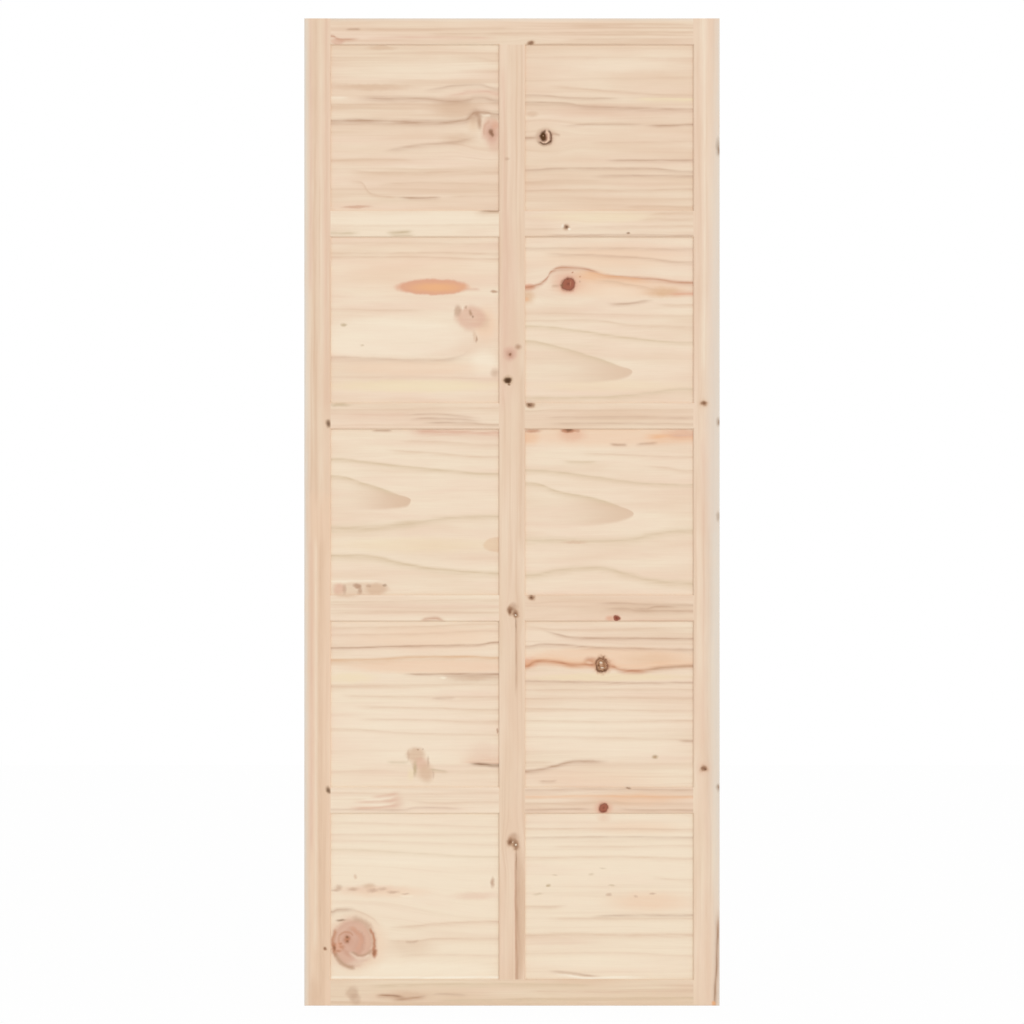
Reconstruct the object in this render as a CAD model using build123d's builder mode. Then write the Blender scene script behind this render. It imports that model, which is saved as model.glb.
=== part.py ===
from build123d import *
import os

# Sliding barn door leaf in solid pine: grooved stiles and rails round flat panels, two across and five down.
# Sizes in millimetres. The origin is the middle of the top edge, +Z is up and -Y is the front.

# Driving dimensions
door_width = 900
door_height = 2140
door_thickness = 18

stile_width = 57
mullion_width = 57
top_rail_height = 57
bottom_rail_height = 57
cross_rail_height = 57
panel_rows = 5

panel_thickness = 9
panel_face_play = 0.2  # between each face of a panel and the wall of its groove
panel_side_gap = 1  # left at each end of a panel, in the bottom of its groove
panel_top_gap = 2  # room for the panel to swell; its lower edge sits on the rail below
groove_depth = 10
glue_pocket = 0.5  # left beyond the end of a tongue

outer_round = 2  # round-over on the arrises round the leaf
rim_ease = 2  # chamfer on the arrises round each panel
rim_angle = 45

# Places that follow from the sizes
column_width = (door_width - 2 * stile_width - mullion_width) / 2
column_centre = (mullion_width + column_width) / 2
cross_rails_height = (panel_rows - 1) * cross_rail_height
row_height = (door_height - top_rail_height - bottom_rail_height - cross_rails_height) / panel_rows
row_pitch = row_height + cross_rail_height
first_row_centre = -top_rail_height - row_height / 2
stile_inner_edge = door_width / 2 - stile_width
groove_width = panel_thickness + 2 * panel_face_play
tongue_length = groove_depth - glue_pocket

sides = {"left": -1, "right": 1}
row_centres = [first_row_centre - row * row_pitch for row in range(panel_rows)]
opening_centres = [(side * column_centre, z) for side in sides.values() for z in row_centres]

middle_of_thickness = Plane.XZ
front_face = Plane.XZ.offset(door_thickness / 2)


def save(block, name):
    block.part.label = name
    export_step(block.part, f"parts/{name}.step")


os.makedirs("parts", exist_ok=True)

# Outline of the glued-up leaf, rounded over along its outer arrises
with BuildPart() as leaf_outline:
    with BuildSketch(middle_of_thickness):
        with Locations((0, -door_height / 2)):
            Rectangle(door_width, door_height)
    extrude(amount=door_thickness / 2, both=True)
    fillet(leaf_outline.faces().filter_by(Axis.Y).edges(), radius=outer_round)

# What the chamfer takes off round every panel opening, on the front and then on the back
with BuildPart() as opening_rims:
    with BuildSketch(front_face.offset(-rim_ease)):
        with Locations(*opening_centres):
            Rectangle(column_width, row_height)
    extrude(amount=rim_ease, taper=-rim_angle)
    mirror(about=middle_of_thickness)

# The two stiles run the full height, each with one groove along its inner edge
for side_name, side in sides.items():
    with BuildPart() as stile:
        with BuildSketch(Plane.XY.offset(-door_height)):
            with Locations((side * (stile_inner_edge + stile_width / 2), 0)):
                Rectangle(stile_width, door_thickness)
            with Locations((side * (stile_inner_edge + groove_depth / 2), 0)):
                Rectangle(groove_depth, groove_width, mode=Mode.SUBTRACT)
        extrude(amount=door_height)
        add(leaf_outline.part, mode=Mode.INTERSECT)
        add(opening_rims.part, mode=Mode.SUBTRACT)
    save(stile, f"{side_name}_stile")

# Top and bottom rails fit between the stiles, grooved along the edge that faces the panels
long_rail_length = 2 * stile_inner_edge
end_rails = {
    "top_rail": (-top_rail_height, top_rail_height, 1),
    "bottom_rail": (bottom_rail_height - door_height, bottom_rail_height, -1),
}
for rail_name, (grooved_edge, rail_height, outward) in end_rails.items():
    with BuildPart() as end_rail:
        with BuildSketch(Plane.YZ.offset(-long_rail_length / 2)):
            with Locations((0, grooved_edge + outward * rail_height / 2)):
                Rectangle(door_thickness, rail_height)
            with Locations((0, grooved_edge + outward * groove_depth / 2)):
                Rectangle(groove_width, groove_depth, mode=Mode.SUBTRACT)
        extrude(amount=long_rail_length)
        with BuildSketch(middle_of_thickness):
            with Locations((0, grooved_edge + outward * (groove_depth + rail_height) / 2)):
                Rectangle(long_rail_length + 2 * tongue_length, rail_height - groove_depth)
        extrude(amount=groove_width / 2, both=True)
        add(leaf_outline.part, mode=Mode.INTERSECT)
        add(opening_rims.part, mode=Mode.SUBTRACT)
    save(end_rail, rail_name)

# One mullion stands between the top and bottom rails, grooved along both edges
mullion_length = door_height - top_rail_height - bottom_rail_height
with BuildPart() as mullion:
    with BuildSketch(Plane.XY.offset(-top_rail_height)):
        Rectangle(mullion_width, door_thickness)
        with Locations(*[(side * (mullion_width - groove_depth) / 2, 0) for side in sides.values()]):
            Rectangle(groove_depth, groove_width, mode=Mode.SUBTRACT)
    extrude(amount=-mullion_length)
    with BuildSketch(middle_of_thickness):
        with Locations((0, -top_rail_height - mullion_length / 2)):
            Rectangle(mullion_width - 2 * groove_depth, mullion_length + 2 * tongue_length)
    extrude(amount=groove_width / 2, both=True)
    add(opening_rims.part, mode=Mode.SUBTRACT)
save(mullion, "centre_mullion")

# Short cross rails between each stile and the mullion, grooved along both edges
groove_offset = (cross_rail_height - groove_depth) / 2
for side_name, side in sides.items():
    for row in range(panel_rows - 1):
        rail_centre = row_centres[row] - row_pitch / 2
        with BuildPart() as cross_rail:
            with BuildSketch(Plane.YZ.offset(side * column_centre - column_width / 2)):
                with Locations((0, rail_centre)):
                    Rectangle(door_thickness, cross_rail_height)
                with Locations((0, rail_centre - groove_offset), (0, rail_centre + groove_offset)):
                    Rectangle(groove_width, groove_depth, mode=Mode.SUBTRACT)
            extrude(amount=column_width)
            with BuildSketch(middle_of_thickness):
                with Locations((side * column_centre, rail_centre)):
                    Rectangle(column_width + 2 * tongue_length, cross_rail_height - 2 * groove_depth)
            extrude(amount=groove_width / 2, both=True)
            add(opening_rims.part, mode=Mode.SUBTRACT)
        save(cross_rail, f"cross_rail_{row + 1}_{side_name}")

# Flat panels, held loosely in the grooves and standing on the rail below
panel_width = column_width + 2 * (groove_depth - panel_side_gap)
panel_height = row_height + 2 * groove_depth - panel_top_gap
for side_name, side in sides.items():
    for row, row_centre in enumerate(row_centres):
        with BuildPart() as panel:
            with BuildSketch(middle_of_thickness):
                with Locations((side * column_centre, row_centre - panel_top_gap / 2)):
                    Rectangle(panel_width, panel_height)
            extrude(amount=panel_thickness / 2, both=True)
        save(panel, f"panel_{row + 1}_{side_name}")
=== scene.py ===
import bpy
import math
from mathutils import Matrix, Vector


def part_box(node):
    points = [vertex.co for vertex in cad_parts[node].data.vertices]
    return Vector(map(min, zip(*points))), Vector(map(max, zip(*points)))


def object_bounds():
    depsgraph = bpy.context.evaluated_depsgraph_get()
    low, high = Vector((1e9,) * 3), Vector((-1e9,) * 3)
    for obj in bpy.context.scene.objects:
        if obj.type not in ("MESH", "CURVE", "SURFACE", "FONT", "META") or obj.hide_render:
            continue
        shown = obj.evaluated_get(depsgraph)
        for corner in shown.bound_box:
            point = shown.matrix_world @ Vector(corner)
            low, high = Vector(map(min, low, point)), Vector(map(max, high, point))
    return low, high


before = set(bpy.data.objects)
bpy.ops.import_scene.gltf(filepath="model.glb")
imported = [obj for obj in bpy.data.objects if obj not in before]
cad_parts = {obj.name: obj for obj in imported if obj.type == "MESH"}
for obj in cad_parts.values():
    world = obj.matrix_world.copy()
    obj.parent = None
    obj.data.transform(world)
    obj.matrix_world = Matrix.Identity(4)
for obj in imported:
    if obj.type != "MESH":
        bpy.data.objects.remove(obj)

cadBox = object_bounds()
leafMiddle = (cadBox[0] + cadBox[1]) / 2
mmPerMetre = 1000

# how the leaf lies in the 1024 px photograph: the marks on the boards are written in its pixels
leafInPhoto = dict(middleX=512.2, topY=18.35, mmPerPixel=2.167, pixels=1024)


# sRGB hex to linear, with an alpha of 1
def linear(hexColour):
    parts = [int(hexColour[i : i + 2], 16) / 255 for i in (0, 2, 4)]
    return [c / 12.92 if c <= 0.04045 else ((c + 0.055) / 1.055) ** 2.4 for c in parts] + [1.0]


# adds one node, sets its options and inputs, links any socket among them and gives its first output
def addNode(tree, kind, inputs=None, **options):
    node = tree.nodes.new(kind)
    for key, value in options.items():
        setattr(node, key, value)
    for key, value in (inputs or {}).items():
        if isinstance(value, bpy.types.NodeSocket):
            tree.links.new(value, node.inputs[key])
        else:
            node.inputs[key].default_value = value
    return node.outputs[0] if node.outputs else node


def newGroup(name, inputs, outputs):
    group = bpy.data.node_groups.new(name, "ShaderNodeTree")
    for label, kind in inputs.items():
        group.interface.new_socket(label, in_out="INPUT", socket_type="NodeSocket" + kind)
    for label, kind in outputs.items():
        group.interface.new_socket(label, in_out="OUTPUT", socket_type="NodeSocket" + kind)
    return group, group.nodes.new("NodeGroupInput").outputs, group.nodes.new("NodeGroupOutput").inputs


# Knotty pine, planed and sanded, no finish: pale sapwood that drifts between cream and blush, tan latewood
# lines, red-brown knots, a dull sheen. Sizes in mm: along the grain, across it, into the board.
pine = dict(
    cream="F3E1C9",
    blush="F0D7C0",
    straw="E4C6AA",
    latewood="D8B698",
    fibreShade="DDC0A4",
    wanderSize=(240, 70, 70),  # one slow bend of the grain
    wanderSpan=(0.2, 0.8),  # a span holds the noise values at which a change starts and ends
    hueSize=(240, 32, 60),  # one drift of colour
    hueSeed=7,
    hueSpan=(0.3, 0.7),
    hueSwing=0.6,
    toneSwing=0.3,
    ringLength=500,
    ringDepth=40,
    ringSeed=3,
    lateSpan=(0.45, 0.75),
    fibreSize=(70, 1.1, 1),  # real fibres are 0.05 mm wide; drawn this coarse so that they show
    fibreSpan=(0.45, 0.75),
    fibreCover=0.2,
    lineBlur=2.8,  # how much wider than written a growth line or painted edge strip trails off
    longestFade=0.3,  # share of a line's run in which it fades in or out, at most
    unevenSize=20,  # wobble along the outline of knots and patches
    unevenShift=(11, 7, 0),
    raggedSize=6,  # torn fibres along the same outlines
    raggedShift=(2.6, 2, 0),
    lineShift=(8, 1.6, 0),  # wobble of growth lines
    cloudSize=(50, 5, 20),  # along a mark, where it comes out stronger or weaker
    cloudSpan=(0.3, 0.65),
    brokenLine=(0.6, 1.1),
    cloudedPatch=(0.86, 1.03),
    noiseMiddle=(0.5, 0.5, 0.5),
    roughSpan=(0.3, 0.7),
    roughness=(0.5, 0.62),
    lateRelief=0.4,  # latewood stands proud by this share of what the fibres do
    reliefStrength=0.25,
    reliefHeight=0.0002,  # metres
    ior=1.5,
    sheen=0.22,
)
markColours = dict(
    # near white; along the foot of the lowest panels it makes a painted highlight
    gleam="FFF8E8",
    pale="F9ECD6",
    yellow="F1DEB9",
    peach="F0CFB2",
    pink="E0B8A0",
    oat="DAC3A4",
    tan="D9B89B",
    orange="ECB384",
    salmon="DFA688",
    resin="D99B78",
    saffron="DDB48E",
    khaki="C6AF8C",
    # painted shade: a grey laid along the rounded outer edges of the leaf
    edgeShadeGrey="E2D8CB",
    grey="C6B4A2",
    line="BC967B",
    rust="C08566",
    brown="8C6447",
    dark="523009",
    madder="7C3426",
)

# from the heart of a knot outwards: share of its drawn reach, colour, cover
knotKinds = dict(
    dark=[
        (0, "43280F", 1), (0.28, "54351A", 1), (0.44, "5F4023", 0.95),
        (0.58, "876443", 0.75), (0.72, "BD9D7A", 0.4), (1, "DDBF9E", 0),
    ],
    red=[
        (0, "864B39", 1), (0.22, "A25F48", 1), (0.42, "A3614B", 1), (0.54, "894E3B", 0.95),
        (0.65, "BF8A71", 0.75), (0.78, "E4B59D", 0.5), (1, "EAC3AB", 0),
    ],
    brown=[
        (0, "764C33", 0.9), (0.3, "936848", 0.85), (0.5, "A57B5C", 0.7),
        (0.66, "C19A7B", 0.45), (1, "DCBB9C", 0),
    ],
    pink=[
        (0, "A46C57", 0.85), (0.16, "C08F78", 0.7), (0.4, "D4A893", 0.6),
        (0.6, "DBB29C", 0.45), (0.8, "E2BEA8", 0.25), (1, "EACDB4", 0),
    ],
    rings=[
        (0, "CF9F89", 0.95), (0.2, "D7AB96", 0.95), (0.3, "CF9F89", 0.9),
        (0.4, "DAB19B", 0.9), (0.5, "D6AB95", 0.85), (0.57, "DCB7A0", 0.7),
        (0.64, "E5C8B0", 0.4), (0.76, "EDD6BF", 0.15), (1, "EED9C2", 0),
    ],
    mottled=[
        (0, "C9A180", 1), (0.14, "BE9474", 1), (0.24, "A0714F", 1), (0.34, "A87C5A", 1),
        (0.43, "BC9272", 1), (0.5, "94674A", 1), (0.58, "845A40", 0.95),
        (0.66, "AC7F60", 0.7), (0.8, "D6AC8A", 0.4), (1, "E3C3A5", 0),
    ],
    pin=[
        (0, "5C4028", 0.9), (0.35, "775638", 0.8), (0.6, "9F7D5F", 0.5),
        (0.8, "C6A585", 0.25), (1, "DDBB9E", 0),
    ],
)
knotEdge = 0.6  # share of the drawn reach at which the written radius lies
# how far the rings inside a knot are broken up
knotMottle = dict(dark=0.3, red=0.4, brown=0.5, pink=0.25, rings=0.12, mottled=0.8, pin=0.3)

# how the grain parts round a knot, in radii of the knot drawn out along the grain
knotBow = dict(squeeze=(0.3, 0.55, 0), near=0.3, far=2.2, pull=0.6, pinPull=0.3)


# Flow is pulled towards the knot's axis, so that the lines beside it bow outwards
def knotGroup():
    inputs = dict(Place="Vector", Flow="Vector", Centre="Vector", Radius="Vector", Bow="Float")
    tree, given, result = newGroup("knotInGrain", inputs, dict(Flow="Vector", Reach="Float"))
    offset = {0: given["Place"], 1: given["Centre"]}
    offset = addNode(tree, "ShaderNodeVectorMath", offset, operation="SUBTRACT")
    flat = addNode(tree, "ShaderNodeVectorMath", {0: offset, 1: (1, 1, 0)}, operation="MULTIPLY")
    unit = addNode(tree, "ShaderNodeVectorMath", {0: flat, 1: given["Radius"]}, operation="DIVIDE")
    reach = addNode(tree, "ShaderNodeVectorMath", {0: unit}, operation="LENGTH").node.outputs["Value"]
    drawn = addNode(tree, "ShaderNodeVectorMath", {0: unit, 1: knotBow["squeeze"]}, operation="MULTIPLY")
    near = addNode(tree, "ShaderNodeVectorMath", {0: drawn}, operation="LENGTH").node.outputs["Value"]
    fall = {0: near, 1: knotBow["near"], 2: knotBow["far"], 3: given["Bow"], 4: 0}
    pull = addNode(tree, "ShaderNodeMapRange", fall, interpolation_type="SMOOTHSTEP")
    across = {0: given["Flow"], 1: given["Centre"]}
    across = addNode(tree, "ShaderNodeVectorMath", across, operation="SUBTRACT")
    across = addNode(tree, "ShaderNodeVectorMath", {0: across, 1: (0, 1, 0)}, operation="MULTIPLY")
    shift = addNode(tree, "ShaderNodeVectorMath", {0: across, "Scale": pull}, operation="SCALE")
    bowed = addNode(tree, "ShaderNodeVectorMath", {0: given["Flow"], 1: shift}, operation="SUBTRACT")
    tree.links.new(bowed, result["Flow"])
    tree.links.new(reach, result["Reach"])
    return tree


# one growth line, or a strip of painted shade or highlight along an edge: Aside is the distance from its
# course,
# Share the part of its run that lies behind; it peaks on its course and trails off to both sides
def lineGroup():
    trail = 2  # power of the fall to either side
    inputs = dict(Aside="Float", Share="Float", Before="Float", After="Float")
    inputs.update(Fade="Float", Strength="Float")
    tree, given, result = newGroup("grainOrShadeLine", inputs, dict(Mark="Float"))
    outer = addNode(tree, "ShaderNodeMath", {0: given["Before"], 1: -1}, operation="MULTIPLY")
    rise = addNode(tree, "ShaderNodeMapRange", {0: given["Aside"], 1: outer, 2: 0, 3: 0, 4: 1})
    fall = addNode(tree, "ShaderNodeMapRange", {0: given["Aside"], 1: 0, 2: given["After"], 3: 1, 4: 0})
    peak = addNode(tree, "ShaderNodeMath", {0: rise, 1: fall}, operation="MULTIPLY")
    peak = addNode(tree, "ShaderNodeMath", {0: peak, 1: trail}, operation="POWER")
    start = {0: given["Share"], 1: 0, 2: given["Fade"], 3: 0, 4: given["Strength"]}
    start = addNode(tree, "ShaderNodeMapRange", start, interpolation_type="SMOOTHSTEP")
    ahead = addNode(tree, "ShaderNodeMath", {0: 1, 1: given["Share"]}, operation="SUBTRACT")
    end = {0: ahead, 1: 0, 2: given["Fade"], 3: 0, 4: 1}
    end = addNode(tree, "ShaderNodeMapRange", end, interpolation_type="SMOOTHSTEP")
    mark = addNode(tree, "ShaderNodeMath", {0: peak, 1: start}, operation="MULTIPLY")
    mark = addNode(tree, "ShaderNodeMath", {0: mark, 1: end}, operation="MULTIPLY")
    tree.links.new(mark, result["Mark"])
    return tree


# an oval stain, resin pocket, patch of other wood or patch of painted edge shade, hard or soft at its edge
def patchGroup():
    edge = 1.1  # in half sizes of the patch, where it has faded out
    inputs = dict(Place="Vector", Centre="Vector", Half="Vector", Soft="Float", Strength="Float")
    tree, given, result = newGroup("woodOrShadePatch", inputs, dict(Mark="Float"))
    offset = {0: given["Place"], 1: given["Centre"]}
    offset = addNode(tree, "ShaderNodeVectorMath", offset, operation="SUBTRACT")
    offset = addNode(tree, "ShaderNodeVectorMath", {0: offset, 1: (1, 1, 0)}, operation="MULTIPLY")
    unit = addNode(tree, "ShaderNodeVectorMath", {0: offset, 1: given["Half"]}, operation="DIVIDE")
    reach = addNode(tree, "ShaderNodeVectorMath", {0: unit}, operation="LENGTH").node.outputs["Value"]
    inner = addNode(tree, "ShaderNodeMath", {0: edge, 1: given["Soft"]}, operation="SUBTRACT")
    fall = {0: reach, 1: edge, 2: inner, 3: 0, 4: given["Strength"]}
    mark = addNode(tree, "ShaderNodeMapRange", fall, interpolation_type="SMOOTHSTEP")
    tree.links.new(mark, result["Mark"])
    return tree


# part of a ring in or round a knot: Way points from the heart to the middle of the arc, Open is the cosine
# of half the angle it spans, and its ends fade up to midway between Open and the middle
def arcGroup():
    midway = 0.5
    inputs = dict(Place="Vector", Centre="Vector", Half="Vector", Way="Vector")
    inputs.update(Open="Float", Width="Float", Strength="Float")
    tree, given, result = newGroup("ringArc", inputs, dict(Mark="Float"))
    offset = {0: given["Place"], 1: given["Centre"]}
    offset = addNode(tree, "ShaderNodeVectorMath", offset, operation="SUBTRACT")
    offset = addNode(tree, "ShaderNodeVectorMath", {0: offset, 1: (1, 1, 0)}, operation="MULTIPLY")
    unit = addNode(tree, "ShaderNodeVectorMath", {0: offset, 1: given["Half"]}, operation="DIVIDE")
    reach = addNode(tree, "ShaderNodeVectorMath", {0: unit}, operation="LENGTH").node.outputs["Value"]
    off = addNode(tree, "ShaderNodeMath", {0: reach, 1: 1}, operation="SUBTRACT")
    off = addNode(tree, "ShaderNodeMath", {0: off}, operation="ABSOLUTE")
    rim = {0: off, 1: given["Width"], 2: 0, 3: 0, 4: given["Strength"]}
    rim = addNode(tree, "ShaderNodeMapRange", rim, interpolation_type="SMOOTHSTEP")
    facing = addNode(tree, "ShaderNodeVectorMath", {0: unit}, operation="NORMALIZE")
    facing = {0: facing, 1: given["Way"]}
    facing = addNode(tree, "ShaderNodeVectorMath", facing, operation="DOT_PRODUCT").node.outputs["Value"]
    full = {0: given["Open"], 1: 1 - midway, 2: midway}
    full = addNode(tree, "ShaderNodeMath", full, operation="MULTIPLY_ADD")
    ends = {0: facing, 1: given["Open"], 2: full, 3: 0, 4: 1}
    ends = addNode(tree, "ShaderNodeMapRange", ends, interpolation_type="SMOOTHSTEP")
    mark = addNode(tree, "ShaderNodeMath", {0: rim, 1: ends}, operation="MULTIPLY")
    tree.links.new(mark, result["Mark"])
    return tree


grainGroups = dict(knot=knotGroup(), line=lineGroup(), patch=patchGroup(), arc=arcGroup())
print("grain groups ready")


# places and sizes on a board: photograph pixels to mm along its grain and across it
def boardPoint(board, x, y):
    right = (x - leafInPhoto["middleX"]) * leafInPhoto["mmPerPixel"]
    down = (y - leafInPhoto["topY"]) * leafInPhoto["mmPerPixel"]
    return (down, right, 0) if board["upright"] else (right, down, 0)


def boardSpan(board, x, y):
    scale = leafInPhoto["mmPerPixel"]
    return (y * scale, x * scale, 1) if board["upright"] else (x * scale, y * scale, 1)


# distance from a course and share of its run; one that nearly reaches the end of the board goes on past it
def alongCourse(tree, board, parts, course):
    margin = 1  # mm, keeps the range of a straight course open
    points = [boardPoint(board, x, y)[:2] for x, y in course]
    if points[0][0] < board["first"] + board["endZone"]:
        points.insert(0, (board["first"] - 2 * board["endZone"], points[0][1]))
    if points[-1][0] > board["last"] - board["endZone"]:
        points.append((board["last"] + 2 * board["endZone"], points[-1][1]))
    start = points[0][0]
    length = points[-1][0] - start
    low = min(across for along, across in points) - margin
    high = max(across for along, across in points) + margin
    share = addNode(tree, "ShaderNodeMapRange", {0: parts[0], 1: start, 2: start + length, 3: 0, 4: 1})
    curve = addNode(tree, "ShaderNodeFloatCurve", {"Value": share}).node
    bends = curve.mapping.curves[0].points
    while len(bends) < len(points):
        bends.new(0.5, 0.5)
    for bend, (along, across) in zip(bends, points):
        bend.location = ((along - start) / length, (across - low) / (high - low))
        bend.handle_type = "AUTO_CLAMPED"
    curve.mapping.update()
    way = {0: curve.outputs[0], 1: 0, 2: 1, 3: low, 4: high}
    way = addNode(tree, "ShaderNodeMapRange", way, clamp=False)
    aside = addNode(tree, "ShaderNodeMath", {0: parts[1], 1: way}, operation="SUBTRACT")
    return aside, share, length


def lineCover(tree, board, parts, before, after, strength, course):
    scale = leafInPhoto["mmPerPixel"] * pine["lineBlur"]
    aside, share, length = alongCourse(tree, board, parts, course)
    inputs = dict(Aside=aside, Share=share, Before=before * scale, After=after * scale, Strength=strength)
    inputs["Fade"] = min(pine["longestFade"], board["fade"] / length)
    return addNode(tree, "ShaderNodeGroup", inputs, node_tree=grainGroups["line"])


# lengths in pixels: where the two edges cross beyond the tip, and how softly each edge starts and ends
tongueEdges = dict(past=3, cross=6, upper=(-0.6, 1.4), lower=(0.8, -3.5), darkFrom=0.3, faint=0.12)


# the tongue that a ring shows where the saw leaves it: between two courses that meet, darkest at the tip
def tongueCover(tree, board, parts, strength, upper, lower):
    scale = leafInPhoto["mmPerPixel"]
    tipX, tipY = upper[-1]
    pastUpper = (tipX + tongueEdges["past"], tipY + tongueEdges["cross"])
    pastLower = (tipX + tongueEdges["past"], tipY - tongueEdges["cross"])
    over, share, length = alongCourse(tree, board, parts, upper + [pastUpper])
    under, share, length = alongCourse(tree, board, parts, lower + [pastLower])
    start, end = tongueEdges["upper"]
    top = {0: over, 1: start * scale, 2: end * scale, 3: 0, 4: 1}
    top = addNode(tree, "ShaderNodeMapRange", top, interpolation_type="SMOOTHSTEP")
    start, end = tongueEdges["lower"]
    foot = {0: under, 1: start * scale, 2: end * scale, 3: 0, 4: 1}
    foot = addNode(tree, "ShaderNodeMapRange", foot, interpolation_type="SMOOTHSTEP")
    deep = {0: share, 1: tongueEdges["darkFrom"], 2: 1, 3: tongueEdges["faint"] * strength, 4: strength}
    deep = addNode(tree, "ShaderNodeMapRange", deep, interpolation_type="SMOOTHSTEP")
    cover = addNode(tree, "ShaderNodeMath", {0: top, 1: foot}, operation="MULTIPLY")
    return addNode(tree, "ShaderNodeMath", {0: cover, 1: deep}, operation="MULTIPLY")


def patchCover(tree, board, place, centre, half, soft, strength):
    inputs = dict(Place=place, Centre=boardPoint(board, *centre), Half=boardSpan(board, *half))
    inputs.update(Soft=soft, Strength=strength)
    return addNode(tree, "ShaderNodeGroup", inputs, node_tree=grainGroups["patch"])


# heading in degrees, 0 to the right and 90 down as the photograph shows it; spread to either side of it
def arcCover(tree, board, place, centre, half, heading, spread, width, strength):
    right = math.cos(math.radians(heading))
    down = math.sin(math.radians(heading))
    inputs = dict(Place=place, Centre=boardPoint(board, *centre), Half=boardSpan(board, *half))
    inputs["Way"] = (down, right, 0) if board["upright"] else (right, down, 0)
    inputs["Open"] = math.cos(math.radians(spread))
    inputs["Width"] = 2 * width / (half[0] + half[1])
    inputs["Strength"] = strength
    return addNode(tree, "ShaderNodeGroup", inputs, node_tree=grainGroups["arc"])


# turns millimetres into periods of a noise
def perMm(sizes):
    return [1 / size for size in sizes]


# millimetres along the grain, across it and into the board; a lean shifts the marks from front to back
def boardPlace(tree, board, front):
    spot = addNode(tree, "ShaderNodeTexCoord").node.outputs["Object"]
    side = addNode(tree, "ShaderNodeSeparateXYZ", {0: spot}).node.outputs
    down = addNode(tree, "ShaderNodeMath", {0: side[2], 1: -1}, operation="MULTIPLY")
    along, across = (down, side[0]) if board["upright"] else (side[0], down)
    depth = addNode(tree, "ShaderNodeMath", {0: side[1], 1: front}, operation="SUBTRACT")
    across = {0: depth, 1: board["lean"], 2: across}
    across = addNode(tree, "ShaderNodeMath", across, operation="MULTIPLY_ADD")
    place = addNode(tree, "ShaderNodeCombineXYZ", {0: along, 1: across, 2: depth})
    return addNode(tree, "ShaderNodeVectorMath", {0: place, "Scale": mmPerMetre}, operation="SCALE")


# the place as outlines see it, wobbled and torn along the fibres, as growth lines see it, and a speckle
def wobblyPlaces(tree, board, place):
    noise = dict(Vector=place, W=board["seed"], Scale=1 / pine["unevenSize"], Detail=2)
    wobble = addNode(tree, "ShaderNodeTexNoise", noise, noise_dimensions="4D").node.outputs["Color"]
    wobble = {0: wobble, 1: pine["noiseMiddle"]}
    wobble = addNode(tree, "ShaderNodeVectorMath", wobble, operation="SUBTRACT")
    uneven = {0: wobble, 1: pine["unevenShift"], 2: place}
    uneven = addNode(tree, "ShaderNodeVectorMath", uneven, operation="MULTIPLY_ADD")
    noise = dict(Vector=place, W=board["seed"], Scale=1 / pine["raggedSize"], Detail=2)
    ragged = addNode(tree, "ShaderNodeTexNoise", noise, noise_dimensions="4D").node.outputs
    torn = {0: ragged[1], 1: pine["noiseMiddle"]}
    torn = addNode(tree, "ShaderNodeVectorMath", torn, operation="SUBTRACT")
    uneven = {0: torn, 1: pine["raggedShift"], 2: uneven}
    uneven = addNode(tree, "ShaderNodeVectorMath", uneven, operation="MULTIPLY_ADD")
    speckle = {0: ragged[0], 1: pine["noiseMiddle"][0]}
    speckle = addNode(tree, "ShaderNodeMath", speckle, operation="SUBTRACT")
    nearLine = {0: wobble, 1: pine["lineShift"], 2: place}
    nearLine = addNode(tree, "ShaderNodeVectorMath", nearLine, operation="MULTIPLY_ADD")
    lineParts = addNode(tree, "ShaderNodeSeparateXYZ", {0: nearLine}).node.outputs
    return uneven, lineParts, speckle


# the course of the plain grain: a slow wander, bent round each knot
def grainFlow(tree, board, place, uneven):
    slow = {0: place, 1: perMm(pine["wanderSize"])}
    slow = addNode(tree, "ShaderNodeVectorMath", slow, operation="MULTIPLY")
    noise = dict(Vector=slow, W=board["seed"], Scale=1, Detail=1)
    wander = addNode(tree, "ShaderNodeTexNoise", noise, noise_dimensions="4D")
    start, end = pine["wanderSpan"]
    wander = {0: wander, 1: start, 2: end, 3: -board["wander"], 4: board["wander"]}
    wander = addNode(tree, "ShaderNodeMapRange", wander)
    wander = addNode(tree, "ShaderNodeCombineXYZ", {1: wander})
    flow = addNode(tree, "ShaderNodeVectorMath", {0: place, 1: wander}, operation="ADD")
    knots = []
    for kind, centre, radius in board.get("knots", {}).values():
        inputs = dict(Place=uneven, Flow=flow, Centre=boardPoint(board, *centre))
        inputs["Radius"] = boardSpan(board, *radius)
        inputs["Bow"] = knotBow["pinPull"] if kind == "pin" else knotBow["pull"]
        bent = addNode(tree, "ShaderNodeGroup", inputs, node_tree=grainGroups["knot"]).node
        flow = bent.outputs["Flow"]
        knots.append((bent.outputs["Reach"], kind))
    return flow, knots


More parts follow.
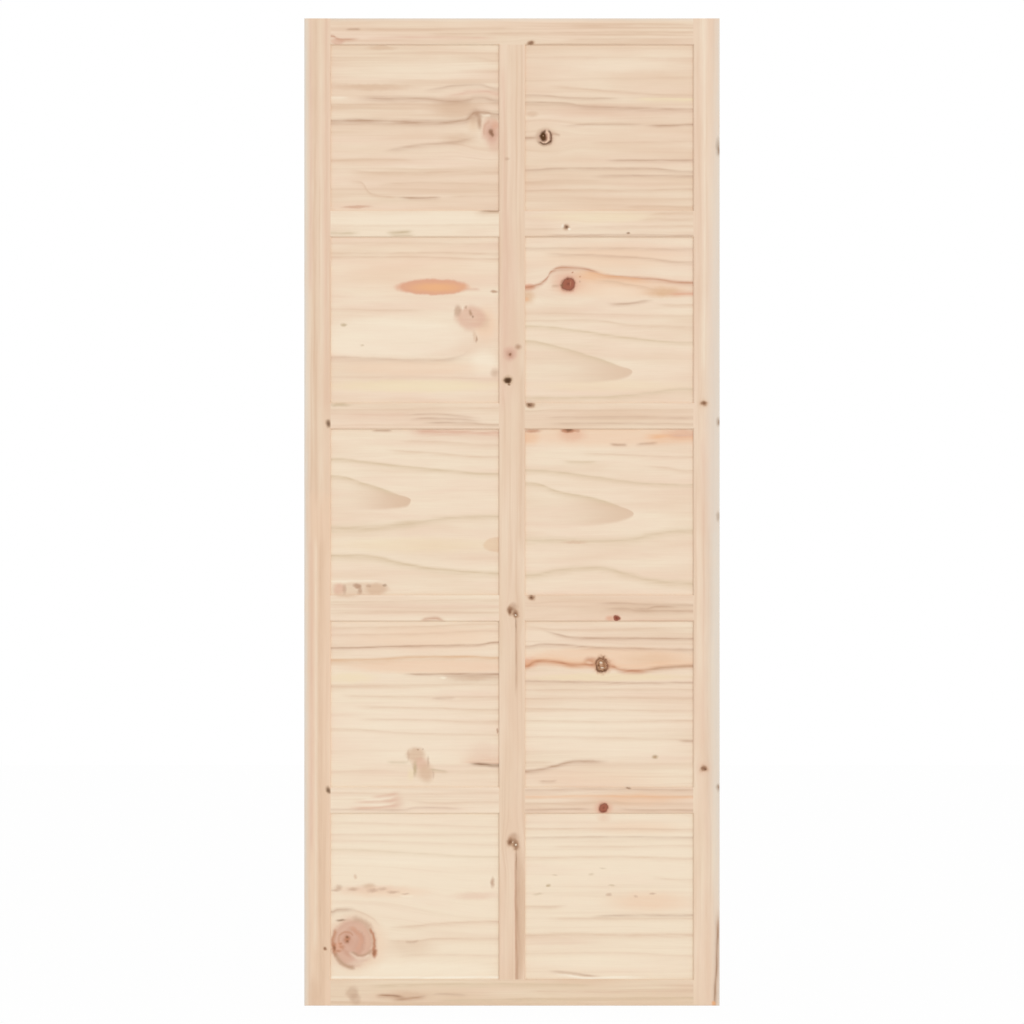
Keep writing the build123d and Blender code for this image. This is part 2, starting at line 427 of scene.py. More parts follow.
# drift of hue, broad tone, latewood lines that follow the flow, fibres; layers are cover and colour
def plainWood(tree, board, flow):
    broad = {0: flow, 1: perMm(pine["hueSize"])}
    broad = addNode(tree, "ShaderNodeVectorMath", broad, operation="MULTIPLY")
    noise = dict(Vector=broad, W=board["seed"] + pine["hueSeed"], Scale=1, Detail=3)
    drift = addNode(tree, "ShaderNodeTexNoise", noise, noise_dimensions="4D").node.outputs
    start, end = pine["hueSpan"]
    swing = pine["hueSwing"]
    hue = {0: drift[0], 1: start, 2: end, 3: board["blush"] - swing, 4: board["blush"] + swing}
    hue = addNode(tree, "ShaderNodeMapRange", hue)
    swing = pine["toneSwing"]
    tone = addNode(tree, "ShaderNodeSeparateColor", {0: drift[1]}).node.outputs[2]
    tone = {0: tone, 1: start, 2: end, 3: board["tone"] - swing, 4: board["tone"] + swing}
    tone = addNode(tree, "ShaderNodeMapRange", tone)
    rings = {0: flow, 1: perMm((pine["ringLength"], board["ringWidth"], pine["ringDepth"]))}
    rings = addNode(tree, "ShaderNodeVectorMath", rings, operation="MULTIPLY")
    noise = dict(Vector=rings, W=board["seed"] + pine["ringSeed"], Scale=1, Detail=3)
    rings = addNode(tree, "ShaderNodeTexNoise", noise, noise_dimensions="4D")
    start, end = pine["lateSpan"]
    late = {0: rings, 1: start, 2: end, 3: 0, 4: board["grain"]}
    late = addNode(tree, "ShaderNodeMapRange", late, interpolation_type="SMOOTHSTEP")
    fine = {0: flow, 1: perMm(pine["fibreSize"])}
    fine = addNode(tree, "ShaderNodeVectorMath", fine, operation="MULTIPLY")
    fibre = addNode(tree, "ShaderNodeTexNoise", dict(Vector=fine, Scale=1, Detail=2))
    start, end = pine["fibreSpan"]
    shade = addNode(tree, "ShaderNodeMapRange", {0: fibre, 1: start, 2: end, 3: 0, 4: pine["fibreCover"]})
    covers = dict(blush=hue, straw=tone, latewood=late, fibreShade=shade)
    layers = [(cover, linear(pine[colourName])) for colourName, cover in covers.items()]
    return layers, late, fibre


# the marks of a board over its plain wood: patches, tongues, lines, knots, arcs, details
def boardMarks(tree, board, flow, uneven, lineParts, knots, speckle):
    cloud = {0: flow, 1: perMm(pine["cloudSize"])}
    cloud = addNode(tree, "ShaderNodeVectorMath", cloud, operation="MULTIPLY")
    cloud = addNode(tree, "ShaderNodeTexNoise", dict(Vector=cloud, Scale=1, Detail=1))
    start, end = pine["cloudSpan"]
    weak, strong = pine["brokenLine"]
    broken = addNode(tree, "ShaderNodeMapRange", {0: cloud, 1: start, 2: end, 3: weak, 4: strong})
    weak, strong = pine["cloudedPatch"]
    clouded = addNode(tree, "ShaderNodeMapRange", {0: cloud, 1: start, 2: end, 3: weak, 4: strong})
    layers = []
    for colourName, *patch in board.get("patches", {}).values():
        cover = patchCover(tree, board, uneven, *patch)
        cover = addNode(tree, "ShaderNodeMath", {0: cover, 1: clouded}, operation="MULTIPLY")
        layers.append((cover, linear(markColours[colourName])))
    for colourName, *tongue in board.get("tongues", {}).values():
        cover = tongueCover(tree, board, lineParts, *tongue)
        layers.append((cover, linear(markColours[colourName])))
    for colourName, before, after, strength, *course in board.get("lines", {}).values():
        cover = lineCover(tree, board, lineParts, before, after, strength, course)
        cover = addNode(tree, "ShaderNodeMath", {0: cover, 1: broken}, operation="MULTIPLY")
        layers.append((cover, linear(markColours[colourName])))
    for reach, kind in knots:
        spread = {0: speckle, 1: knotMottle[kind], 2: reach}
        spread = addNode(tree, "ShaderNodeMath", spread, operation="MULTIPLY_ADD")
        share = addNode(tree, "ShaderNodeMath", {0: spread, 1: knotEdge}, operation="MULTIPLY")
        ramp = addNode(tree, "ShaderNodeValToRGB", {0: share}).node
        stops = ramp.color_ramp.elements
        while len(stops) < len(knotKinds[kind]):
            stops.new(0.5)
        for stop, (position, hexColour, cover) in zip(stops, knotKinds[kind]):
            stop.position = position
            stop.color = linear(hexColour)[:3] + [cover]
        layers.append((ramp.outputs["Alpha"], ramp.outputs["Color"]))
    for colourName, *arc in board.get("arcs", {}).values():
        cover = arcCover(tree, board, uneven, *arc)
        layers.append((cover, linear(markColours[colourName])))
    for colourName, *detail in board.get("details", {}).values():
        cover = patchCover(tree, board, uneven, *detail)
        layers.append((cover, linear(markColours[colourName])))
    return layers


def boardMaterial(name, board):
    material = bpy.data.materials.new("sandedPine_" + name)
    material.use_nodes = True
    tree = material.node_tree
    tree.nodes.clear()
    low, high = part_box(name)
    board["first"] = -mmPerMetre * high[2] if board["upright"] else mmPerMetre * low[0]
    board["last"] = -mmPerMetre * low[2] if board["upright"] else mmPerMetre * high[0]

    place = boardPlace(tree, board, low[1])
    uneven, lineParts, speckle = wobblyPlaces(tree, board, place)
    flow, knots = grainFlow(tree, board, place, uneven)
    layers, late, fibre = plainWood(tree, board, flow)
    layers += boardMarks(tree, board, flow, uneven, lineParts, knots, speckle)
    colour = linear(pine["cream"])
    for cover, layerColour in layers:
        mix = {0: cover, 6: colour, 7: layerColour}  # 6 and 7 are the two colours
        colour = addNode(tree, "ShaderNodeMix", mix, data_type="RGBA").node.outputs[2]

    start, end = pine["roughSpan"]
    smooth, coarse = pine["roughness"]
    rough = addNode(tree, "ShaderNodeMapRange", {0: fibre, 1: start, 2: end, 3: smooth, 4: coarse})
    relief = {0: late, 1: pine["lateRelief"], 2: fibre}
    relief = addNode(tree, "ShaderNodeMath", relief, operation="MULTIPLY_ADD")
    bump = {"Strength": pine["reliefStrength"], "Distance": pine["reliefHeight"], "Height": relief}
    bump = addNode(tree, "ShaderNodeBump", bump)
    wood = {"Base Color": colour, "Roughness": rough, "Normal": bump}
    wood.update({"IOR": pine["ior"], "Specular IOR Level": pine["sheen"]})
    shader = addNode(tree, "ShaderNodeBsdfPrincipled", wood)
    addNode(tree, "ShaderNodeOutputMaterial", {0: shader})
    return material


# what every board starts from, in mm where it is a length; each piece below changes what differs
plainBoard = dict(endZone=16, fade=50, lean=0.6, wander=3)
plainPanel = dict(plainBoard, upright=False, ringWidth=11, blush=0.5, tone=0.2, grain=0.4)
plainRail = dict(plainBoard, upright=False, ringWidth=7, blush=0.6, tone=0.2, grain=0.35)
plainStile = dict(plainBoard, upright=True, ringWidth=8, blush=0.7, tone=0.4, grain=0.4)

# The marks on each board, in photograph pixels.
# patches and details: colour, centre, half size, softness of the edge, cover
# tongues: colour, cover, upper edge, lower edge, both ending at the tip
# lines: colour, width before and after the course, cover, then the points of the course along the grain
# knots: kind, centre, radius
# arcs: colour, centre, half size, heading, spread, width, cover

# Uprights
leftStile = dict(plainStile, seed=1.3, tone=0.5, grain=0.65)
leftStile["patches"] = dict(
    lowerLength=("peach", (317, 770), (60, 258), 0.04, 0.35),  # finger joint, other wood below it
    footShade=("tan", (314, 994), (7, 24), 0.9, 0.5),
)
leftStile["lines"] = dict(
    innerBlush=("pink", 3, 3, 0.42, (327, 19), (326, 240), (327, 420)),
    midTan=("tan", 2, 3, 0.45, (316, 19), (315, 250), (316, 514)),
    paleStreak=("pale", 2, 2, 0.25, (321, 19), (321, 300), (321, 514)),
    outerBlush=("pink", 1.6, 1.6, 0.6, (310.6, 19), (311, 120), (310.6, 300)),
    lowerTan=("tan", 2, 3, 0.65, (321, 530), (319, 760), (321, 1003)),
    lowerPale=("pale", 1.5, 2, 0.4, (315.5, 530), (316, 760), (315, 960)),
    lowerBlush=("pink", 2, 2, 0.55, (311, 530), (312, 700), (311, 860)),
    # painted shade: grey down the rounded left edge, which turns away from the light
    paintedArrisShade=("edgeShadeGrey", 2, 3, 0.95, (305.4, 19), (305.4, 1005)),
)
leftStile["knots"] = dict(
    upper=("pin", (328.4, 424), (2.5, 3.3)),
    lower=("pin", (328.4, 790), (2.4, 3.3)),
    foot=("brown", (325, 949), (1.6, 1.8)),
)

rightStile = dict(plainStile, seed=2.7, blush=0.65, tone=0.25)
rightStile["patches"] = dict(
    # painted shading of the rounded right edge, laid on as a pale grey over its outer strip
    paintedEdgeGrey=("edgeShadeGrey", (719, 512), (17, 520), 0.9, 0.8),
    upperLength=("pink", (707, 250), (60, 264), 0.04, 0.12),
    upperHalo=("tan", (704, 403), (7, 7), 1, 0.5),
    lowerHalo=("pink", (704, 768.6), (9, 9), 1, 0.5),
)
rightStile["lines"] = dict(
    # painted shade: grey along the rounded right edge
    paintedArrisShade=("edgeShadeGrey", 4, 2, 0.8, (719.5, 19), (719.5, 1005)),
    innerTan=("tan", 2, 2, 0.3, (698, 25), (699, 300), (698, 510)),
    paleBand=("pale", 2.4, 2.4, 0.4, (704, 20), (705, 180), (704, 380)),
    lowerTan=("tan", 2, 3, 0.3, (709, 520), (707, 1000)),
    blueEdge=("line", 1.5, 2, 0.9, (718, 905), (717, 960), (715, 1005)),
    blueCore=("brown", 0.7, 0.8, 0.6, (718.4, 915), (717, 960), (715, 1005)),
    innerBlush=("pink", 2, 3, 0.3, (703, 430), (704, 600), (703, 760)),
)
rightStile["knots"] = dict(
    upper=("brown", (704.2, 403.4), (3.4, 2.6)),
    lower=("brown", (703.8, 769), (3.6, 3)),
)
rightStile["details"] = dict(
    upperCore=("brown", (704.8, 403.6), (2.2, 1.6), 1, 0.75),
    lowerCore=("dark", (705.2, 769.8), (1.6, 1.4), 1, 0.6),
    lowerFleck=("brown", (702, 768.2), (1.8, 1.3), 1, 0.6),
    edgeKnot1=("grey", (718.4, 147), (3.2, 12), 0.9, 1),
    edgeCore1=("brown", (718.8, 150.4), (1.5, 6), 1, 0.55),
    edgeKnot2=("grey", (718.4, 422), (3, 6), 0.9, 1),
    edgeCore2=("brown", (718.8, 422.4), (1.5, 3.4), 1, 0.55),
    edgeKnot3=("grey", (718.4, 517), (3, 7), 0.9, 1),
    edgeKnot4=("grey", (718.4, 788), (3, 5.5), 0.9, 1),
    edgeCore4=("brown", (718.8, 787.4), (1.5, 3.4), 1, 0.55),
    resinSpot=("orange", (714, 1003), (3, 3), 0.7, 0.9),
)

centreMullion = dict(plainStile, seed=4.1, tone=0.45, grain=0.5)
centreMullion["patches"] = dict(
    rightShade=("tan", (521, 914), (6.5, 74), 0.6, 0.75),
    upperBlush=("pink", (509, 300), (12, 120), 0.8, 0.25),
    pairBlush=("pink", (511, 353), (8.5, 9), 0.8, 0.7),
    middleCap=("line", (513.6, 607), (6.4, 5), 1, 0.65),
    lowerCap=("line", (513.8, 837.4), (7, 6), 1, 0.65),
)
centreMullion["lines"] = dict(
    upperBlush=("pink", 3, 3, 0.4, (503, 60), (505, 240), (503, 420)),
    edgeTan=("tan", 2, 3, 0.45, (521, 360), (521, 440), (520, 560)),
    underMiddle=("line", 0.8, 1.1, 0.7, (516, 604), (516.4, 650), (516, 700)),
    underLowerCore=("rust", 0.5, 0.8, 0.6, (515, 846), (515.6, 910), (516, 980)),
    underLower=("line", 0.8, 2.4, 0.75, (516, 838), (516.4, 910), (517, 980)),
)
centreMullion["knots"] = dict(
    pinkPair=("pink", (510, 354.4), (5.6, 6)),
    small=("dark", (508.2, 380), (3.9, 3.6)),
    middleLeft=("brown", (510.2, 611), (2.8, 4)),
    middleRight=("brown", (516, 614), (3.2, 4)),
    lowerLeft=("brown", (510, 842), (3, 4.6)),
    lowerRight=("brown", (516, 845), (3.6, 4.8)),
)
centreMullion["details"] = dict(
    pairHeart=("brown", (510, 354.2), (1.9, 1.6), 0.9, 0.8),
    pairSmudge=("line", (518.2, 347.2), (4.6, 4), 1, 0.9),
    smallTail=("brown", (509.4, 384.6), (2.2, 1.8), 1, 0.9),
    faint=("line", (507.4, 158.6), (3.6, 2.8), 1, 0.5),
    middleCore=("brown", (510.6, 611.4), (2.1, 2.4), 1, 0.85),
    middleBridge=("brown", (513.2, 609.6), (3.6, 2.6), 1, 0.5),
    middleStem=("brown", (516.2, 624), (0.9, 11), 1, 0.45),
    middleGleam=("pale", (516.2, 615), (1.2, 1.1), 0.8, 0.9),
    lowerCore=("brown", (510.6, 841.8), (2.3, 2.4), 1, 0.9),
    lowerBridge=("brown", (513.8, 840.6), (3.8, 2.8), 1, 0.5),
    lowerStem=("brown", (516.2, 860), (0.9, 15), 1, 0.45),
    lowerGleam=("pale", (516.4, 845.2), (1.4, 1.5), 0.8, 0.9),
    lowerGlint=("pale", (512.8, 842.2), (0.9, 0.9), 0.9, 0.7),
)

# Long rails
topRail = dict(plainRail, seed=5.2, tone=0.2, grain=0.55)
topRail["lines"] = dict(
    tanDash=("line", 0.8, 1.2, 0.75, (344, 29.6), (352, 29.2), (363, 29.4)),
    redStreak=("rust", 1, 1.6, 0.75, (331, 36), (337, 38.6), (345, 39.6), (356, 39), (363, 38.2)),
    dashTail=("tan", 1, 1.4, 0.55, (360, 29.3), (420, 29), (520, 28)),
    streakTail=("pink", 1, 2, 0.6, (360, 38.6), (420, 37), (500, 38)),
    middleTan=("tan", 1, 2, 0.6, (420, 34), (560, 33), (694, 32)),
    upperTan=("tan", 1, 2, 0.5, (560, 26), (694, 25)),
    lowerTan=("tan", 1, 2, 0.45, (560, 40), (694, 39)),
    # painted shade: grey along the rounded top edge
    paintedArrisShade=("edgeShadeGrey", 1, 1.6, 0.8, (331, 18.6), (694, 18.6)),
)
topRail["patches"] = dict(redEnd=("pink", (338, 42), (8, 4), 0.6, 0.8))
topRail["knots"] = dict(small=("brown", (531.4, 43.2), (3.4, 2.2)))

bottomRail = dict(plainRail, seed=6.4, tone=0.3, blush=0.3, grain=0.5)
bottomRail["patches"] = dict(
    weathered=("khaki", (512, 994), (260, 22), 0.2, 0.08),
    smudge=("line", (352, 993), (8, 8.4), 0.7, 0.42),
    smudgeFoot=("line", (355.4, 999), (7, 8), 0.8, 0.36),
    disturbed=("tan", (404, 996), (36, 7), 0.9, 0.6),
)
bottomRail["lines"] = dict(
    darkLeft=("line", 1.1, 1.7, 1, (374, 996), (386, 995.4), (396, 996), (408, 998)),
    darkCore=("brown", 0.6, 0.7, 0.55, (382, 995.8), (392, 995.8), (402, 996.8)),
    darkRight=("line", 1, 1.6, 0.85, (390, 999.4), (404, 999), (414, 998), (430, 995.6)),
    rightTail=("line", 0.8, 1.4, 0.45, (428, 995.6), (445, 994), (470, 995.4)),
    upperTan=("oat", 1, 2.4, 0.7, (362, 986), (480, 984), (600, 985)),
    lowerTan=("oat", 1, 2.4, 0.7, (430, 1001), (560, 999), (694, 998)),
    middleTan=("tan", 1, 2, 0.5, (520, 991), (600, 992), (694, 991)),
)

# Short rails, from the top
railLeft1 = dict(plainRail, seed=7.1, blush=0.05, tone=-0.1, grain=0.15)
railLeft1["patches"] = dict(creamMiddle=("pale", (415, 220), (110, 10), 0.8, 0.35))
railLeft1["lines"] = dict(
    darkEnd=("brown", 0.9, 1.2, 0.85, (476, 210.8), (488, 211.2), (498, 211.4)),
    endGlow=("tan", 1.5, 3, 0.6, (470, 212), (498, 212.4)),
    greyLeft=("khaki", 1.6, 1.8, 0.6, (330, 233), (346, 233.4), (363, 233.2)),
    greyMiddle=("khaki", 1.4, 1.6, 0.8, (384, 233), (398, 232.4), (416, 231.6)),
    greyFoot=("khaki", 1, 1.2, 0.6, (388, 235.4), (402, 235.6), (418, 235)),
    tanLine=("tan", 1, 1.6, 0.3, (331, 226), (498, 225)),
)

railRight1 = dict(plainRail, seed=8.8, blush=0.5, tone=0.2, grain=0.3)
railRight1["patches"] = dict(yellowTop=("yellow", (600, 217), (80, 8), 0.8, 0.4))
railRight1["lines"] = dict(
    darkFoot=("line", 0.8, 1.4, 0.5, (540, 235.4), (620, 235), (692, 235.4)),
    tanLine=("tan", 1, 2, 0.4, (526, 229), (610, 227), (692, 226)),
    waveUpper=("tan", 1.2, 2, 0.5, (640, 217), (665, 213.6), (692, 213)),
    waveLower=("tan", 1.2, 2, 0.45, (630, 223), (660, 219.6), (692, 220)),
)
railRight1["knots"] = dict(left=("brown", (567, 227.2), (3.4, 2.8)))
railRight1["details"] = dict(
    leftCore=("dark", (567.6, 227), (1.8, 1.5), 1, 0.6),
    leftGleam=("gleam", (570.6, 229.2), (1.9, 1.7), 1, 0.8),
    leftHalo=("gleam", (562.8, 226), (2.2, 3.2), 1, 0.5),
    right=("brown", (628.4, 233.2), (3.2, 1.3), 0.9, 0.75),
)

railLeft2 = dict(plainRail, seed=9.5, blush=0.55, tone=0.22)
railLeft2["patches"] = dict(greyEnd=("khaki", (340, 405), (14, 2.6), 0.9, 0.6))
railLeft2["lines"] = dict(
    upperTan=("tan", 1, 2.4, 0.4, (331, 410), (498, 408)),
    archUpper=("line", 0.9, 1.6, 0.4, (400, 416.6), (430, 414), (456, 415.6), (486, 419)),
    arch=("line", 0.9, 1.6, 0.5, (403, 420.6), (430, 418.4), (460, 419.4), (486, 421.6)),
    foot=("line", 0.9, 1.6, 0.5, (416, 425), (440, 422.6), (464, 423), (498, 425)),
    pinkTop=("pink", 2, 3, 0.3, (331, 415), (420, 414)),
)

railRight2 = dict(plainRail, seed=10.3, blush=0.55, tone=0.35)
railRight2["lines"] = dict(
    upperTan=("tan", 1, 2.4, 0.4, (526, 411), (692, 410)),
    middle=("line", 0.9, 1.6, 0.35, (540, 417.6), (620, 417), (692, 418)),
    foot=("line", 0.9, 1.6, 0.35, (540, 423.6), (620, 423.4), (692, 424)),
)
railRight2["knots"] = dict(corner=("brown", (530.4, 404.8), (3.8, 2.8)))
railRight2["details"] = dict(
    cornerCore=("dark", (529.6, 404.4), (1.8, 1.4), 0.9, 0.6),
    cornerGleam=("pale", (529, 401.4), (4, 1), 0.7, 0.6),
)

railLeft3 = dict(plainRail, seed=11.6, blush=0.4, tone=-0.12)
railLeft3["patches"] = dict(footSmear=("tan", (346, 596), (14, 2.6), 0.9, 0.5))
railLeft3["lines"] = dict(
    upperTan=("tan", 1, 2.4, 0.4, (331, 602), (498, 600)),
    pinkMiddle=("pink", 2, 2, 0.35, (331, 607), (498, 606)),
    lowerTan=("tan", 1, 2, 0.4, (331, 613), (420, 612), (498, 613)),
    redArch=("rust", 1.4, 2, 0.85, (418, 621), (427, 619), (434, 618.4), (441, 619.8), (447, 622)),
)

railRight3 = dict(plainRail, seed=12.2, blush=0.7, tone=0.42)
railRight3["patches"] = dict(
    greyWood=("tan", (640, 609), (75, 9), 0.8, 0.45),
    footBlush=("salmon", (611, 618.4), (6.4, 3.6), 0.9, 0.75),
)
railRight3["lines"] = dict(
    greyUpper=("line", 0.9, 1.8, 0.45, (592, 604), (620, 603), (640, 604.6), (692, 605)),
    greyDash=("line", 0.8, 1.6, 0.55, (628, 607.6), (645, 609), (655, 607), (668, 606.4), (680, 607)),
    greyLower=("line", 0.9, 1.8, 0.5, (600, 610), (620, 608.6), (640, 610.8), (692, 611)),
    pinkFoot=("pink", 1.5, 2, 0.4, (620, 620), (660, 621), (692, 621.4)),
    leftTan=("tan", 1, 2, 0.35, (526, 606), (600, 607)),
)
railRight3["knots"] = dict(
    corner=("brown", (531.6, 598), (3.4, 2.6)),
    foot=("red", (616.7, 618.3), (2.8, 2.8)),
)
railRight3["details"] = dict(
    cornerCore=("dark", (531, 597.8), (1.4, 1.2), 0.9, 0.5),
    footCore=("madder", (617, 618.2), (2.3, 2.3), 1, 0.8),
)

railLeft4 = dict(plainRail, seed=13.9, blush=0.45, tone=-0.16)
railLeft4["patches"] = dict(
    creamGround=("pale", (415, 800), (130, 24), 0.3, 0.2),
    disturbed=("pink", (394, 802), (12, 11), 0.9, 0.5),
)
railLeft4["lines"] = dict(
    upper=("tan", 1, 2, 0.35, (331, 793), (420, 794), (498, 793)),
    strokeUpper=("pink", 1.6, 1.8, 0.7, (368, 797.6), (384, 796), (405, 792)),
    strokeMiddle=("pink", 1.4, 1.8, 0.8, (350, 802), (384, 801.4), (407, 797)),
    strokeLower=("pink", 1.4, 1.8, 0.8, (345, 808), (380, 807.4), (407, 803)),
    gleamUpper=("pale", 1.2, 1.2, 0.7, (356, 800), (380, 799.4), (400, 795.4)),
    gleamLower=("pale", 1.2, 1.2, 0.7, (350, 805), (376, 805), (402, 801)),
    middle=("tan", 0.9, 1.8, 0.5, (405, 800), (440, 803), (498, 802)),
    foot=("line", 0.9, 1.6, 0.35, (331, 809.6), (400, 810), (420, 807.6), (470, 809)),
)

railRight4 = dict(plainRail, seed=14.4, blush=0.8, tone=0.22, grain=0.42)
railRight4["patches"] = dict(
    knotBlush=("salmon", (604, 808), (12, 8), 0.9, 0.8),
    sideBlush=("orange", (640, 799), (56, 9), 0.9, 0.3),
)
railRight4["lines"] = dict(
    upper=("line", 0.9, 1.8, 0.4, (526, 790), (600, 789), (692, 790)),
    middle=("orange", 0.9, 1.6, 0.5, (526, 797), (600, 796), (692, 797)),
    lower=("tan", 1, 2, 0.5, (526, 804), (590, 803), (692, 804)),
    underKnot=("line", 0.9, 1.6, 0.5, (526, 810), (580, 809), (598, 810.6)),
    besideKnot=("line", 0.9, 1.6, 0.45, (612, 808), (640, 810), (692, 810.4)),
)
railRight4["knots"] = dict(foot=("red", (603.8, 808.2), (4.6, 5)))
railRight4["details"] = dict(dash=("brown", (628.4, 788), (3.4, 1.1), 0.9, 0.7),
    footRim=("madder", (604.6, 811.6), (3.4, 1.4), 1, 0.5))

# Panels, from the top
panelLeft1 = dict(plainPanel, seed=21.5, tone=0.25, grain=0.45)
panelLeft1["patches"] = dict(
    brightTop=("pale", (415, 68), (100, 12), 0.9, 0.28),
    # a darker tan patch just under the top rail
    tanUnderRail=("tan", (381, 47.5), (20, 3), 0.8, 0.6),
    tanBand=("tan", (372, 87), (54, 4.4), 0.8, 0.7),
    knotShade=("tan", (456, 108), (34, 15), 0.9, 0.75),
    knotBlush=("pink", (491, 130), (12, 17), 0.7, 0.9),
    knotFoot=("pink", (494, 142), (9, 13), 0.9, 0.7),
    rimGlow=("saffron", (474, 124), (9, 12), 1, 0.35),
    hookShade=("line", (474.6, 116), (9, 10), 1, 0.45),
    underShade=("tan", (460, 138), (24, 8), 0.9, 0.5),
    redSmear=("rust", (357, 207), (18, 2), 0.8, 0.5),
)
panelLeft1["lines"] = dict(
    upperRight1=("tan", 1, 2, 0.4, (440, 57), (470, 57), (498, 60)),
    upperRight2=("tan", 1, 2, 0.3, (450, 71), (498, 71)),
    outerArc=("line", 1.2, 2, 0.45, (420, 91), (440, 88), (460, 84.8), (478, 84.6), (498, 88.6)),
    innerArc=("pink", 1.6, 2.4, 0.8, (440, 97), (460, 93.6), (470, 91.4), (482, 90.8), (498, 93.4)),
    gleam=("pale", 1, 1.5, 0.7, (331, 97.5), (352, 97.6)),
    upperLine=(
        "line", 1.8, 3, 0.6,
        (352, 98), (420, 98.4), (456, 101), (470, 99.4), (480, 97.4), (498, 100.8),
    ),
    underLine=("tan", 1, 2, 0.55, (331, 104.6), (400, 104), (452, 106)),
    main=("line", 1.4, 3.2, 0.85, (331, 120.4), (360, 120), (400, 121.4)),
    mainThin=(
        "line", 1.8, 3, 0.85,
        (380, 121.4), (440, 122), (464, 120.4), (471, 115.8), (480, 111.8), (498, 114.4),
    ),
    underKnot=("line", 1.2, 2.6, 0.5, (380, 151), (420, 145), (460, 141), (480, 135)),
    midLeft=("tan", 1, 2, 0.45, (331, 160), (370, 159), (420, 161)),
    line170=("tan", 1, 2.4, 0.65, (342, 170.6), (405, 172.6), (460, 171.6), (498, 172)),
    line184=("tan", 1, 2, 0.45, (375, 185), (425, 182.6), (498, 184)),
    sagging=("tan", 1, 2, 0.65, (345, 181), (360, 182), (372, 194), (395, 197), (405, 197.4)),
    darkDash=("line", 0.8, 1.4, 0.95, (396, 197.2), (420, 197.8), (444, 197.2)),
    dashTail=("tan", 0.9, 1.6, 0.5, (440, 197), (470, 196), (498, 196)),
)
panelLeft1["knots"] = dict(main=("pink", (491.6, 133), (6.4, 9)))
panelLeft1["arcs"] = dict(innerRing=("rust", (491, 132), (7, 10.6), 215, 60, 2.4, 0.25))
panelLeft1["details"] = dict(
    rimTop=("line", (478, 114.6), (4, 3.4), 1, 0.75),
    rim=("line", (479.4, 122), (3.4, 10), 1, 0.8),
    lens=("pale", (487, 115.4), (6.4, 1.6), 0.9, 0.5),
    topPink=("salmon", (494.6, 125), (4.4, 8), 1, 0.4),
    heart=("brown", (491, 132), (2.9, 4.4), 0.9, 0.75),
    heartLow=("brown", (492.4, 134.8), (1.9, 2.8), 0.9, 0.7),
)

panelRight1 = dict(plainPanel, seed=22.9, tone=0.38, grain=0.35)
panelRight1["patches"] = dict(
    brightTop=("pale", (610, 66), (95, 11), 0.9, 0.35),
    upperBlush=("pink", (600, 110), (90, 8), 0.8, 0.3),
    leftSmear=("tan", (532, 114), (8, 4), 0.8, 0.6),
    knotHalo=("tan", (545.6, 137), (13, 12), 0.9, 0.8),
    knotShade=("brown", (544.4, 136.4), (9.4, 9.6), 1, 0.75),
)
panelRight1["lines"] = dict(
    top=("tan", 1, 2, 0.35, (526, 57), (610, 57), (692, 58)),
    line86=("tan", 1, 2, 0.55, (545, 85.6), (575, 88), (612, 91), (692, 95)),
    line95=("line", 0.9, 1.8, 0.45, (526, 95), (587, 98), (625, 98)),
    gleam=("yellow", 1, 2, 0.8, (628, 98.5), (660, 98.6), (692, 99)),
    greyBand=("line", 1, 2.6, 0.55, (526, 102), (560, 102.6), (587, 106), (625, 107.4), (692, 109)),
    line125=("line", 0.9, 1.5, 0.45, (558, 126), (600, 124), (625, 124), (652, 125.4)),
    line125Dark=("line", 0.9, 1.5, 0.75, (640, 125), (660, 125.4), (692, 124.4)),
    tailLeft=("line", 1.2, 1.6, 0.8, (524, 137.8), (532, 137.6), (542, 136.6)),
    wisp=("line", 1, 1.4, 0.6, (549, 132.6), (555, 133.6), (562, 135.6)),
    line142=("tan", 1, 2, 0.4, (584, 142.5), (640, 142), (692, 141)),
    line160=("line", 0.9, 1.8, 0.6, (600, 160.4), (650, 160), (692, 160)),
    line170=("line", 0.9, 2, 0.5, (526, 170), (562, 168), (642, 168), (692, 171.6)),
    line176=("line", 0.9, 1.8, 0.5, (587, 176), (640, 175.4), (692, 176)),
    line182=("tan", 1, 2, 0.4, (526, 182.6), (562, 180), (610, 181)),
    line190=("tan", 1, 2.2, 0.6, (526, 190.6), (575, 189.6), (630, 190), (692, 189)),
    line207=("tan", 1, 2, 0.5, (617, 207), (650, 206), (692, 207)),
)
panelRight1["knots"] = dict(flow=("pink", (546, 137), (6, 6)))
panelRight1["arcs"] = dict(
    halo=("brown", (544.6, 137), (7.2, 8), 60, 110, 2.6, 0.5),
    crescent=("peach", (543.8, 136.2), (5, 6.6), 15, 75, 1.5, 0.9),
    rightRim=("dark", (544.4, 136.4), (7, 8), 0, 55, 1.6, 0.75),
    footRim=("dark", (544.4, 136.6), (6.4, 7.4), 85, 60, 1.6, 0.8),
)
panelRight1["details"] = dict(
    knotCore=("dark", (543.2, 136), (3.9, 6), 0.6, 1),
    coreTop=("dark", (545, 131.4), (2, 2), 0.9, 0.7),
    footFleck=("peach", (543, 142), (1.2, 0.9), 1, 0.6),
    coreGleam=("line", (543, 135), (0.9, 0.9), 0.9, 0.6),
)

